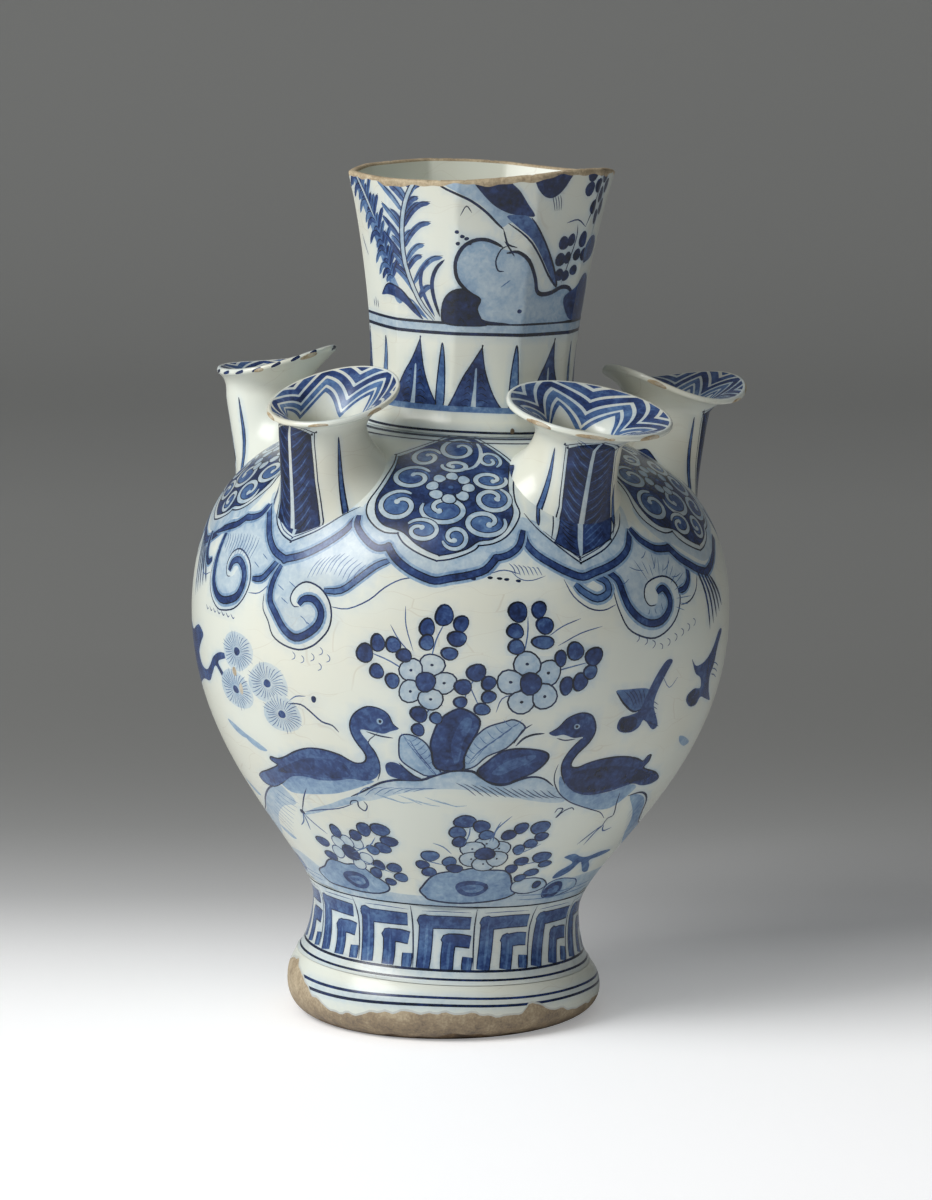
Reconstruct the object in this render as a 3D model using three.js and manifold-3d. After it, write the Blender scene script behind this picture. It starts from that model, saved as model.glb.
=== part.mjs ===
// Flower vase with five spouts: a glazed pot of turned and moulded sections, luted together with slip.
//
// Millimetres, +Z up, the viewer stands on -Y. Azimuths are counted from -Y towards +X, in degrees.
// The foot ring stands level. Everything luted on top of it leans to the right as one, as the real
// pot does, so those pieces sit in one turned group that pivots on the foot's seat.
import * as THREE from 'three';
import { mergeVertices } from 'three/addons/utils/BufferGeometryUtils.js';
import Module from 'manifold-3d';

const wasm = await Module();
wasm.setup();

// Driving dimensions. The sections stack: each rise is counted from the section below.
const lean_degrees = 2.8;
const slip_gap = 0.3; // thickness of slip between two luted sections

const foot = { height: 24, tread_outer: 57.5, tread_inner: 49, bulge: 66.8, bulge_height: 12, neck: 62.6 };
const foot_rounding = { heel_out: 6, heel_up: 2, below: 6, above: 7, neck_out: 1, neck_down: 3 };
const foot_recess = { radius: 48, lip: 1.5 };

const waist = { radius: 56.7, rise: 22, swell: 22.7 };
const waist_cove = { inward: 3.5, upward: 3, below: 8 };
const belly = { radius: 113.6, rise: 127, below: 66.9, above: 43 };
const shoulder = { rise: 79.3, top_radius: 46.5, reach: 47, slope_degrees: 12 };
const body_wall = 5.5;
const seam_bevel = 3; // the belly seam is cut on a slant, higher inside
const floor_thickness = 8;
const floor_fillet = 9;

const neck = { length: 106.4, waist_rise: 25.4, waist_radius: 43.4, rim_radius: 56.2, bore_radius: 39 };
const neck_flare = { lower: 14, upper: 26, rim_slope_degrees: 75 };
const neck_base_rise = 12; // the small cove where the neck spreads onto the shoulder
const rim_wall = 3.6;
const facets = { count: 10, turned_degrees: -10, softness: 0.55, fade: 16 };
const rim_waves = [
  { lobes: 1, height: 2.7, crest_degrees: 70 },
  { lobes: 2, height: 1.7, crest_degrees: 45 },
  { lobes: 3, height: 0.7, crest_degrees: 60 },
];

const spout_count = 5;
const first_spout_degrees = 32.7; // the spout right of the front
const spout = { ring_radius: 89, length: 68, tube_radius: 18, bore_radius: 14, lip: 2.4 };
const spout_flare = { depth: 14, curve: 2.2 };
const spout_skirt = { spread: 10, rise: 20, curve: 2.2, buried: 1.15, outer_share: 0.05 };
// Each spout was made by hand: its mouth's size, tilt, sag and place over the tube are its own.
// A mouth's rise is counted from the top of the shoulder.
const spout_mouths = {
  spout_front_left: {
    place: 4, mouth_radius: 27, mouth_rise: 17.2, mouth_outward: -4, mouth_sideways: 3.4,
    lean_degrees: 8, tilt_degrees: 20.5, saddle: 0.4, saddle_turn_degrees: 0,
  },
  spout_front_right: {
    place: 0, mouth_radius: 34, mouth_rise: 17.9, mouth_outward: 0, mouth_sideways: 3,
    lean_degrees: 12, tilt_degrees: 12, saddle: 0.2, saddle_turn_degrees: 0,
  },
  spout_right: {
    place: 1, mouth_radius: 30.5, mouth_rise: 20.4, mouth_outward: 1.5, mouth_sideways: 0,
    lean_degrees: 6, tilt_degrees: 5, saddle: 4.2, saddle_turn_degrees: 22,
  },
  spout_back: {
    place: 2, mouth_radius: 29, mouth_rise: 17.7, mouth_outward: -1, mouth_sideways: 1.5,
    lean_degrees: 9, tilt_degrees: 13, saddle: 1, saddle_turn_degrees: 0,
  },
  spout_left: {
    place: 3, mouth_radius: 25.5, mouth_rise: 18.2, mouth_outward: -6.5, mouth_sideways: 0,
    lean_degrees: 12, tilt_degrees: 14, saddle: 1.6, saddle_turn_degrees: 0,
  },
};

const glaze_white = 0xdcdccb;
const painted_white = 0xb9c2cc;
const biscuit = 0xa68c70;

const lip_rounding = 0.8;
const sides_per_facet = 5;
const round_sides = facets.count * sides_per_facet; // each corner of the neck falls on a vertex
const spout_sides = 24;
const skirt_steps = 7;
const flare_steps = 5;
const weld_distance = 1e-4;

const waist_height = foot.height + waist.rise;
const belly_height = waist_height + belly.rise;
const shoulder_height = belly_height + shoulder.rise;
const neck_seat = shoulder_height + slip_gap;
const rim_height = neck_seat + neck.length;
const neck_waist_height = neck_seat + neck.waist_rise;

const degrees = Math.PI / 180;
const point = (r, z) => new THREE.Vector2(r, z);

// Points along a cubic curve that leaves and arrives in the given directions
function curvePoints(start, startPull, endPull, end, steps) {
  return new THREE.CubicBezierCurve(start, startPull, endPull, end).getPoints(steps);
}

// A profile (radius, height) turned about the upright axis
function turned(profile, sides, startDegrees = 0) {
  const geometry = new THREE.LatheGeometry(profile, sides, startDegrees * degrees);
  return geometry.rotateX(Math.PI / 2);
}

// Moves every vertex of a geometry by a rule
function reshape(geometry, rule) {
  const position = geometry.attributes.position;
  const vertex = new THREE.Vector3();
  for (let i = 0; i < position.count; i++) {
    vertex.fromBufferAttribute(position, i);
    rule(vertex);
    position.setXYZ(i, vertex.x, vertex.y, vertex.z);
  }
  return geometry;
}

// Turned shapes as solids that can be cut, and back
function toSolid(geometry) {
  const bare = geometry.clone();
  bare.deleteAttribute('normal');
  bare.deleteAttribute('uv');
  const merged = mergeVertices(bare, weld_distance);
  const corners = merged.index.array;
  const faces = [];
  for (let i = 0; i < corners.length; i += 3) {
    const [a, b, c] = [corners[i], corners[i + 1], corners[i + 2]];
    if (a !== b && b !== c && c !== a) faces.push(a, b, c);
  }
  const vertProperties = merged.attributes.position.array;
  return new wasm.Manifold(new wasm.Mesh({ numProp: 3, vertProperties, triVerts: new Uint32Array(faces) }));
}

function toGeometry(solid) {
  const mesh = solid.getMesh();
  const geometry = new THREE.BufferGeometry();
  geometry.setAttribute('position', new THREE.BufferAttribute(mesh.vertProperties, 3));
  geometry.setIndex(new THREE.BufferAttribute(mesh.triVerts, 1));
  return geometry;
}

function clay(name, geometry, color, roughness = 0.25) {
  geometry.computeVertexNormals();
  const mesh = new THREE.Mesh(geometry, new THREE.MeshStandardMaterial({ color, roughness, metalness: 0 }));
  mesh.name = name;
  return mesh;
}

// Outlines shared by the sections that meet
function belowBelly(wall, steps) {
  const r = belly.radius - wall;
  const start = point(waist.radius - wall, waist_height);
  const startPull = point(waist.radius - wall, waist_height + waist.swell);
  return curvePoints(start, startPull, point(r, belly_height - belly.below), point(r, belly_height), steps);
}

function aboveBelly(wall, steps) {
  const r = belly.radius - wall;
  const slope = shoulder.slope_degrees * degrees;
  const top = point(shoulder.top_radius, shoulder_height - wall);
  const topPull = point(top.x + shoulder.reach * Math.cos(slope), top.y - shoulder.reach * Math.sin(slope));
  return curvePoints(point(r, belly_height), point(r, belly_height + belly.above), topPull, top, steps);
}

const shoulder_outline = aboveBelly(0, 24);

// The height of an outline at a radius, or its end's height past its ends
function profileHeight(profile, radius) {
  for (let i = 1; i < profile.length; i++) {
    const [a, b] = [profile[i - 1], profile[i]];
    const t = (radius - a.x) / (b.x - a.x);
    if (t >= 0 && t <= 1) return a.y + t * (b.y - a.y);
  }
  return radius > profile[0].x ? profile[0].y : profile.at(-1).y;
}

// Foot: a rounded ring, hollow below, its seat cut to the slant of the lean
function footRing() {
  const middle = foot.bulge_height;
  const round = foot_rounding;
  const heelPull = point(foot.tread_outer + round.heel_out, round.heel_up);
  const neckPull = point(foot.neck + round.neck_out, foot.height - round.neck_down);
  const lower = curvePoints(point(foot.tread_outer, 0), heelPull,
    point(foot.bulge, middle - round.below), point(foot.bulge, middle), 4);
  const upper = curvePoints(point(foot.bulge, middle), point(foot.bulge, middle + round.above),
    neckPull, point(foot.neck, foot.height), 4);
  const profile = [
    ...lower,
    ...upper.slice(1),
    point(foot_recess.radius, foot.height),
    point(foot_recess.radius, foot_recess.lip),
    point(foot.tread_inner, 0),
    lower[0].clone(),
  ];
  const slant = Math.tan(lean_degrees * degrees);
  return reshape(turned(profile, round_sides), (v) => {
    v.z -= v.x * slant * (v.z / foot.height);
  });
}

// Lower body: a cup with a closed floor, from the foot's seat to the belly seam
function lowerBody() {
  const seat = foot.height + slip_gap;
  const floor = seat + floor_thickness;
  const inner_waist = waist.radius - body_wall;
  const cove = curvePoints(point(foot.neck, seat),
    point(foot.neck - waist_cove.inward, seat + waist_cove.upward),
    point(waist.radius, waist_height - waist_cove.below), point(waist.radius, waist_height), 4);
  const fillet = new THREE.QuadraticBezierCurve(point(inner_waist, floor + floor_fillet),
    point(inner_waist, floor), point(inner_waist - floor_fillet, floor)).getPoints(3);
  const profile = [
    point(0, seat),
    ...cove,
    ...belowBelly(0, 10).slice(1),
    point(belly.radius - body_wall, belly_height + seam_bevel),
    ...belowBelly(body_wall, 7).slice(1, -1).reverse(),
    ...fillet,
    point(0, floor),
  ];
  return turned(profile, round_sides);
}

// Shoulder: the dome from the belly seam to the neck, before its spout holes are cut
function shoulderDome() {
  const outer = aboveBelly(0, 10);
  const inner = aboveBelly(body_wall, 7).slice(1).reverse();
  outer[0].y += slip_gap;
  const profile = [
    ...outer,
    point(neck.bore_radius, shoulder_height),
    point(neck.bore_radius, shoulder_height - body_wall),
    ...inner,
    point(belly.radius - body_wall, belly_height + seam_bevel + slip_gap),
    outer[0].clone(),
  ];
  return turned(profile, round_sides);
}

// The space that the dome fills, a film of slip larger: what a spout's skirt is trimmed to
function trimmingBlock() {
  return turned([point(0, belly_height), ...aboveBelly(-slip_gap, 10), point(0, neck_seat)], round_sides);
}

// Neck: a moulded ten-sided tube on a small cove, flaring to an uneven rim
function neckTube() {
  const cove_middle = neck_seat + neck_base_rise / 2;
  const cove = curvePoints(point(shoulder.top_radius, neck_seat), point(shoulder.top_radius, cove_middle),
    point(neck.waist_radius, cove_middle), point(neck.waist_radius, neck_seat + neck_base_rise), 4);
  const slope = neck_flare.rim_slope_degrees * degrees;
  const flarePull = point(neck.rim_radius - neck_flare.upper * Math.cos(slope),
    rim_height - neck_flare.upper * Math.sin(slope));
  const outerFlare = curvePoints(point(neck.waist_radius, neck_waist_height),
    point(neck.waist_radius, neck_waist_height + neck_flare.lower), flarePull,
    point(neck.rim_radius, rim_height), 8);
  const innerFlare = curvePoints(point(neck.rim_radius - rim_wall, rim_height),
    point(flarePull.x - rim_wall, flarePull.y),
    point(neck.bore_radius, neck_waist_height + neck_flare.lower),
    point(neck.bore_radius, neck_waist_height), 6);
  const profile = [
    ...cove,
    ...outerFlare,
    ...innerFlare,
    point(neck.bore_radius, neck_seat),
    cove[0].clone(),
  ];
  return reshape(turned(profile, round_sides, facets.turned_degrees), (v) => {
    facet(v);
    wearRim(v);
  });
}

// Draws a vertex of the neck in towards a soft polygon, fading out towards the shoulder
function facet(v) {
  const side = 360 / facets.count;
  const azimuth = Math.atan2(v.x, -v.y) / degrees - facets.turned_degrees;
  const fromCorner = ((azimuth % side) + side) % side - side / 2;
  const flat = Math.cos(side / 2 * degrees) / Math.cos(fromCorner * degrees);
  const fade = THREE.MathUtils.smoothstep(v.z, neck_seat, neck_seat + facets.fade);
  const factor = 1 + (flat - 1) * facets.softness * fade;
  v.x *= factor;
  v.y *= factor;
}

// The rim was never cut quite level: its height wanders round the mouth
function wearRim(v) {
  const azimuth = Math.atan2(v.x, -v.y);
  const share = THREE.MathUtils.smoothstep(v.z, neck_waist_height, rim_height);
  for (const wave of rim_waves) {
    v.z += share * wave.height * Math.cos(wave.lobes * (azimuth - wave.crest_degrees * degrees));
  }
}

// Spout: a short tube with a trumpet mouth, turned about its own axis and running on below the
// shoulder's surface. Heights are counted from the middle of the mouth.
function spoutProfile(mouth_radius) {
  const tube_end = -spout_flare.depth;
  const flareRadius = (t, inner) => inner + (mouth_radius - inner) * t ** spout_flare.curve;
  const outer = [];
  for (let i = 0; i <= skirt_steps; i++) {
    outer.push(point(spout.tube_radius, -spout.length + i / skirt_steps * (spout.length + tube_end)));
  }
  for (let i = 1; i <= flare_steps; i++) {
    const t = i / flare_steps;
    outer.push(point(flareRadius(t, spout.tube_radius), tube_end + t * (spout_flare.depth - spout.lip)));
  }
  const inner = [];
  for (let i = flare_steps; i >= 1; i--) {
    const t = i / flare_steps;
    inner.push(point(flareRadius(t, spout.bore_radius) - lip_rounding, tube_end + t * spout_flare.depth));
  }
  inner.push(point(spout.bore_radius, tube_end), point(spout.bore_radius, -spout.length));
  return [...outer, ...inner, outer[0].clone()];
}

// Tilts and bends the mouth, and spreads the skirt where the tube comes down to the shoulder
function spoutBlank(shape) {
  const { mouth_radius, saddle } = shape;
  const tilt = Math.tan((shape.tilt_degrees - shape.lean_degrees) * degrees);
  const toPlace = spoutPlace(shape);
  return reshape(turned(spoutProfile(mouth_radius), spout_sides), (v) => {
    const radius = Math.hypot(v.x, v.y);
    const outward = -v.y;
    const mouth = THREE.MathUtils.smoothstep(v.z, -spout_flare.depth, 0);
    const round = Math.atan2(v.x, outward) - shape.saddle_turn_degrees * degrees;
    const bend = saddle * (radius / mouth_radius) ** 2 * Math.cos(2 * round);
    const outside = radius > (spout.bore_radius + spout.tube_radius) / 2;
    const side = outside && v.z <= -spout_flare.depth ? skirtSpread(v.clone().applyMatrix4(toPlace)) : 0;
    const spread = side * THREE.MathUtils.lerp(1, spout_skirt.outer_share, (1 + outward / radius) / 2);
    v.z += mouth * (bend - outward * tilt);
    v.x += v.x * spread / radius + mouth * shape.mouth_sideways;
    v.y += v.y * spread / radius - mouth * shape.mouth_outward;
  });
}

// How far the skirt stands out from the tube, by the height above the shoulder's surface
function skirtSpread(v) {
  const above = v.z - profileHeight(shoulder_outline, Math.hypot(v.x, v.y));
  const near = THREE.MathUtils.clamp(1 - above / spout_skirt.rise, 0, spout_skirt.buried);
  return spout_skirt.spread * near ** spout_skirt.curve;
}

// From a spout's own axis to its place on the shoulder: the middle of its mouth lies on the ring
function spoutPlace(shape) {
  const azimuth = (first_spout_degrees + shape.place * 360 / spout_count) * degrees;
  const tube_distance = spout.ring_radius - shape.mouth_outward;
  const mouth_height = shoulder_height + shape.mouth_rise;
  const matrix = new THREE.Matrix4().makeRotationZ(azimuth);
  matrix.multiply(new THREE.Matrix4().makeTranslation(-shape.mouth_sideways, -tube_distance, mouth_height));
  return matrix.multiply(new THREE.Matrix4().makeRotationX(shape.lean_degrees * degrees));
}

// The bore that runs on from a spout through the shoulder's wall
function boreCore(shape) {
  const core = new THREE.CylinderGeometry(spout.bore_radius, spout.bore_radius, spout.length, spout_sides);
  core.rotateX(Math.PI / 2).translate(0, 0, -spout.length / 2);
  return core.applyMatrix4(spoutPlace(shape));
}

function dressedShoulder() {
  let solid = toSolid(shoulderDome());
  for (const shape of Object.values(spout_mouths)) solid = solid.subtract(toSolid(boreCore(shape)));
  return toGeometry(solid);
}

function trimmedSpout(shape, block) {
  const blank = spoutBlank(shape).applyMatrix4(spoutPlace(shape));
  return toGeometry(toSolid(blank).subtract(block));
}

const upright = new THREE.Group();
upright.position.z = -foot.height;
upright.add(clay('lower_body', lowerBody(), painted_white));
upright.add(clay('shoulder', dressedShoulder(), painted_white));
upright.add(clay('neck', neckTube(), painted_white));
const block = toSolid(trimmingBlock());
for (const [name, shape] of Object.entries(spout_mouths)) {
  upright.add(clay(name, trimmedSpout(shape, block), glaze_white));
}

const leaning = new THREE.Group();
leaning.position.z = foot.height;
leaning.rotation.y = lean_degrees * degrees;
leaning.add(upright);

const vase = new THREE.Group();
vase.add(clay('foot', footRing(), biscuit, 0.6));
vase.add(leaning);

// The origin lies under the middle of the whole outline, on the surface that the vase stands on
vase.updateMatrixWorld(true);
const bounds = new THREE.Box3().setFromObject(vase, true);
const middle = bounds.getCenter(new THREE.Vector3());
vase.position.set(-middle.x, -middle.y, -bounds.min.z);

export default vase;
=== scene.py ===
from collections import namedtuple

import bpy
import numpy as np
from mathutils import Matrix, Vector
from mathutils.geometry import delaunay_2d_cdt


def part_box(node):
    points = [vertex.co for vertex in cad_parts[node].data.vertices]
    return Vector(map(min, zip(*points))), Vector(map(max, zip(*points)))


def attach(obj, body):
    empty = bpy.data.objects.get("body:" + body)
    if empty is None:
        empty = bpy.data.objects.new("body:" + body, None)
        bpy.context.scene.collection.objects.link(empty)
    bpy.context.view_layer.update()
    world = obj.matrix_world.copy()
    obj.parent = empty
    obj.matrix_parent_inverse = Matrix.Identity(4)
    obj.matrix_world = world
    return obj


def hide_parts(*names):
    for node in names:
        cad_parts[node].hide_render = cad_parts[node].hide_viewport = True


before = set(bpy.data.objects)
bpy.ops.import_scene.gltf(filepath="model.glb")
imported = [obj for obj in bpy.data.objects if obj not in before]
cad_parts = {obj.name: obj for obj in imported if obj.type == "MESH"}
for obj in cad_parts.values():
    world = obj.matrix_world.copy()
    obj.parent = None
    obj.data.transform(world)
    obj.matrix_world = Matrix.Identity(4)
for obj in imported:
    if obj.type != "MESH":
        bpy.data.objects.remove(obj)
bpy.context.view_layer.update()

# Foot ring
# A heavy rounded ring of coarse clay, hollow below and luted under the body. Its glaze stops short of
# the ground and is worn through to brown clay; a pair of thin blue lines runs round it.

foot_low, foot_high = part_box("foot")
foot_axis = [(foot_low[i] + foot_high[i]) / 2 * 1000 for i in range(2)]
lean = np.radians(2.8)
foot_height = 24.0
tread_inner, tread_outer = 49.0, 57.5
foot_bulge, bulge_height, foot_neck = 66.8, 12.0, 62.6
recess_radius, recess_lip = 48.0, 1.5
belly_radius = 113.6
# Drawings are laid out on a canvas in mm: x is the way round the belly from the front, y the way up along
# the wall. The canvas is cut open behind the vase, between its right and its back spout.
seam = np.radians(140.7) * belly_radius
full_turn = (seam - 2 * np.pi * belly_radius, seam)
way_round = np.linspace(*full_turn, 241)


def curve(start, start_pull, end_pull, end, steps=60):
    """A cubic curve: its four points weighted by the cubic Bernstein polynomials."""
    t = np.linspace(0, 1, steps)[:, None]
    points = (np.array(p, float) for p in (start, start_pull, end_pull, end))
    weights = ((1 - t) ** 3, 3 * t * (1 - t) ** 2, 3 * t**2 * (1 - t), t**3)
    return sum(w * p for w, p in zip(weights, points))


class Wall:
    """A wall's profile, joined from stretches of (radius, height) points in mm, and read by the length
    along it. Length 0 lies at the start of the stretch that origin names. The marks are the lengths at
    which the stretches start, and the last one ends."""

    def __init__(self, *stretches, origin=0):
        stretches = [np.array(s, float) for s in stretches]
        points = np.vstack(stretches)
        steps = np.hypot(*np.diff(points, axis=0).T)
        length = np.concatenate([[0], np.cumsum(steps)])
        ends = np.cumsum([0] + [len(s) for s in stretches])
        self.length = length - length[ends[origin]]
        self.marks = [self.length[i] for i in ends[:-1]] + [self.length[-1]]
        self.points = points
        self.parts = [slice(a, b) for a, b in zip(ends, ends[1:])]

    def at(self, length):
        """Radius and height at a length along the wall."""
        return (np.interp(length, self.length, self.points[:, i]) for i in (0, 1))


def around(x, radius, height):
    """Radius and height turned about the pot's axis by x mm round the belly, counted from the front."""
    angle = x / belly_radius
    return np.stack([radius * np.sin(angle), -radius * np.cos(angle), height], -1)


def standing(points):
    """Points on the foot, which stands level: only its seat is cut to the slant of the lean."""
    x, y, height = points[..., 0], points[..., 1], points[..., 2]
    slanted = height - x * np.tan(lean) * height / foot_height
    return np.stack([x + foot_axis[0], y + foot_axis[1], slanted], -1) / 1000


def facing(surface, x, y):
    """The surface's normals: the cross product of its two directions, found by small steps. A trace of
    the way round is added, so that a pole has a normal too."""
    step, angle = 0.2, x / belly_radius
    trace = np.stack([np.cos(angle), np.sin(angle), 0 * angle], -1) * 1e-7
    across = surface(x + step, y) - surface(x - step, y) + trace
    along = surface(x, y + step) - surface(x, y - step)
    normal = np.cross(across, along)
    return normal / np.linalg.norm(normal, axis=-1, keepdims=True)


def rows_along(*spans):
    """Heights of the rows of a skin: each span is its two ends and the spacing between them."""
    spaced = [np.linspace(a, b, round((b - a) / step) + 1, endpoint=False) for a, b, step in spans]
    return np.append(np.concatenate(spaced), spans[-1][1])


def tunnels(corners, flat, holes):
    """Triangles that join each pair of holes, the open edges of one wall to those of the other. Both
    edges are read round their hole by angle, and each edge line meets the other side's last point."""
    edges = np.vstack([corners[:, [0, 1]], corners[:, [1, 2]], corners[:, [2, 0]]])
    used, count = np.unique(np.sort(edges, axis=1), axis=0, return_counts=True)
    rim = np.unique(used[count == 1])
    centres = np.array([hole.mean(axis=0) for hole in holes])
    nearest = np.linalg.norm(flat[rim][:, None] - centres, axis=-1).argmin(axis=1)
    made = []
    for outer in range(0, len(holes), 2):
        loops, angles = [], []
        for hole, up in ((outer, 1), (outer + 1, -1)):
            loop = rim[nearest == hole]
            x, y = (flat[loop] - centres[hole]).T
            angle = np.arctan2(up * y, x)
            order = np.argsort(angle)
            loops.append(loop[order])
            angles.append(angle[order])
        (near, far), (a, b) = loops, angles
        met = (np.searchsorted(b, np.roll(a, -1)) - 1) % len(far)
        made.append(np.column_stack([near, np.roll(near, -1), far[met]]))
        met = (np.searchsorted(a, np.roll(b, -1), side="right") - 1) % len(near)
        made.append(np.column_stack([np.roll(far, -1), far, near[met]]))
    return np.vstack(made)


def smooth(xy, closed=False, fine=5):
    """A curve through given points, by the Catmull-Rom formula. A point given twice is a corner."""
    points = np.reshape(xy, (-1, 2)).astype(float)
    if closed:
        points = np.vstack([points[-1:], points, points[:2]])
    else:
        points = np.vstack([2 * points[0] - points[1], points, 2 * points[-1] - points[-2]])
    before, start, end, after = points[:-3], points[1:-2], points[2:-1], points[3:]
    t = (np.arange(fine) / fine)[:, None, None]
    laid = start + t / 2 * (end - before) + t**2 * (before - 2.5 * start + 2 * end - 0.5 * after)
    laid = (laid + t**3 / 2 * (3 * start - 3 * end + after - before)).transpose(1, 0, 2).reshape(-1, 2)
    laid = np.vstack([laid, points[1:2] if closed else points[-2:-1]])
    moves = np.linalg.norm(np.diff(laid, axis=0), axis=1) > 1e-6
    return laid[np.append(moves, True)]


class Brush:
    """Strokes on a canvas, each an outline with its ink, from 0 for white to 1 for the darkest, and how
    bare it leaves the clay. Stretch is how many canvas mm a real mm round the pot takes at a height.
    Cobalt runs in the glaze, so a dark stroke also has a halo: an outline without ink under it, which
    gives the skin points for the run to fade between."""

    dark_ink = 0.55  # strokes darker than this run
    halo_width = 1.6  # in real mm

    def __init__(self, stretch):
        self.stretch = stretch
        self.halos = []
        self.strokes = []

    def scale(self, points):
        """Canvas mm for a real mm, across and up, at each point."""
        return np.column_stack([self.stretch(points[:, 1]), np.ones(len(points))])

    def lay(self, outline, ink, bare=0.0, bleeds=True):
        """Adds a stroke and its halo, which is every other point moved outwards along its normal."""
        self.strokes.append((outline, ink, bare))
        if bleeds and ink > self.dark_ink and bare == 0:
            scale = self.scale(outline)
            step = (np.roll(outline, -1, axis=0) - np.roll(outline, 1, axis=0)) / scale
            x, y = outline.T
            way = np.sign(np.sum(x * np.roll(y, -1) - y * np.roll(x, -1)))
            out = np.column_stack([step[:, 1], -step[:, 0]]) * way / (np.hypot(*step.T)[:, None] + 1e-9)
            self.halos.append(((outline + self.halo_width * out * scale)[::2], 0.0, 0.0))

    def wash(self, ink, *xy):
        """An area filled within a curve through the points."""
        self.lay(smooth(xy, True, 4)[:-1], ink)

    def line(self, ink, width, *xy, closed=False, ends=0.25, fine=3):
        """A brush line, its width in real mm, thinner towards its ends. It is laid in strokes that each
        turn little, with a dab wherever two meet, so that no outline crosses itself."""
        middle = smooth(xy, closed, fine)
        scale = self.scale(middle)
        t = np.linspace(0, 1, len(middle))
        half = width / 2 * (np.ones(len(t)) if closed else ends + (1 - ends) * (4 * t * (1 - t)) ** 0.4)
        steps = np.diff(middle, axis=0) / scale[1:]
        turned = np.abs(np.diff(np.unwrap(np.arctan2(steps[:, 1], steps[:, 0]))))
        sharp = turned * half[1:-1] > 0.7 * np.hypot(*steps[1:].T)
        far_round = np.diff(np.floor(np.cumsum(turned) / 1.4), prepend=0) > 0
        joints = np.flatnonzero(sharp | far_round) + 1
        for first, last in zip([0, *joints], [*joints, len(middle) - 1]):
            part = slice(first, last + 1)
            step = np.gradient(middle[part], axis=0) / scale[part]
            side = np.column_stack([-step[:, 1], step[:, 0]]) * scale[part]
            side *= (half[part] / np.hypot(*step.T))[:, None]
            self.lay(np.vstack([middle[part] + side, (middle[part] - side)[::-1]]), ink, 0, width > 1.6)
        for i in (*joints, *([0] if closed else [])):
            self.spot(ink, *middle[i], half[i] * scale[i, 0], half[i], count=8)

    def rope(self, *xy, ink=0.7, width=2.7):
        """A thick cobalt line with dark edges, in a wide pale wash."""
        for tint, wide in ((0.27, 2.1 * width), (0.92, width + 0.7), (ink, width - 0.4)):
            self.line(tint, wide, *xy, ends=0.6)

    def edged(self, ink, edge, width, *xy):
        """A filled area with a line round it."""
        self.wash(ink, *xy)
        self.line(edge, width, *xy, closed=True)

    def spot(self, ink, x, y, rx, ry=None, bare=0.0, count=14, bleeds=True):
        """A dab: an ellipse with a slight wobble. A small one has no halo."""
        a = np.linspace(0, 2 * np.pi, count, endpoint=False)
        wobble = 1 + 0.05 * np.sin(2 * a + x) + 0.04 * np.sin(3 * a + y)
        outline = np.column_stack([x + rx * np.cos(a) * wobble, y + (ry or rx) * np.sin(a) * wobble])
        self.lay(outline, ink, bare, bleeds and rx > 2.3)

    def ring(self, ink, height, width, wander=0.3):
        """A line round the pot, drawn by hand: its height wanders by two slow waves."""
        x = np.linspace(*full_turn, 121)
        turn = x / belly_radius
        middle = height + wander * (np.sin(2 * turn + 1) + 0.5 * np.sin(5 * turn + 2))
        middle[-1] = middle[0]
        edges = [np.column_stack([x, middle + side * width / 2]) for side in (-1, 1)]
        self.lay(np.vstack([edges[0], edges[1][::-1]]), ink, 0, False)

    def band(self, ink, x, edge, base, bare=0.0, bleeds=True):
        """An area all the way round, between a level base and an edge that is given at x."""
        edge = np.append(edge[:-1], edge[0])
        self.lay(np.vstack([np.column_stack([x, edge]), [[x[-1], base], [x[0], base]]]), ink, bare, bleeds)

    def add(self, other, x=0):
        """Another brush's strokes, laid once more so many mm further round."""
        self.halos += [(outline + (x, 0), ink, bare) for outline, ink, bare in other.halos]
        self.strokes += [(outline + (x, 0), ink, bare) for outline, ink, bare in other.strokes]


def trimmed(outline, axis, low, high):
    """The part of an outline between two limits, with a point put in wherever it crosses one."""
    for limit, side in ((low, 1), (high, -1)):
        after = np.roll(outline, -1, axis=0)
        here, there = side * (outline[:, axis] - limit), side * (after[:, axis] - limit)
        cross = np.flatnonzero(here * there < -1e-12)
        share = (here[cross] / (here[cross] - there[cross]))[:, None]
        points = (outline[cross] + share * (after[cross] - outline[cross])).round(4)
        points[:, axis] = limit
        outline = np.insert(outline, cross + 1, points, axis=0)
        outline = outline[side * (outline[:, axis] - limit) > -1e-9]
        if len(outline) < 3:
            return outline
    return outline


def fitted(drawing, span, painted):
    """A drawing trimmed to the painted heights, and what runs over one side brought in at the other."""
    laid = []
    for outline, ink, bare in drawing:
        for turns in (-1, 0, 1):
            piece = outline + (turns * (span[1] - span[0]), 0)
            if piece[:, 0].max() > span[0] + 0.01 and piece[:, 0].min() < span[1] - 0.01:
                piece = trimmed(trimmed(piece, 0, *span), 1, *painted)
                if len(piece) > 2 and np.ptp(piece, axis=0).min() > 0.01:
                    laid.append((piece, ink, bare))
    return laid


def within(outline, points):
    """Which points an outline winds round: its edges that pass on their right, upward less downward."""
    x, y = points[:, :1], points[:, 1:]
    start, end = outline, np.roll(outline, -1, axis=0)
    upward = (start[:, 1] <= y) & (end[:, 1] > y)
    downward = (start[:, 1] > y) & (end[:, 1] <= y)
    slope = (end[:, 0] - start[:, 0]) / np.where(upward | downward, end[:, 1] - start[:, 1], 1)
    right = start[:, 0] + (y - start[:, 1]) * slope > x
    return (upward & right).sum(axis=1) != (downward & right).sum(axis=1)


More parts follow.
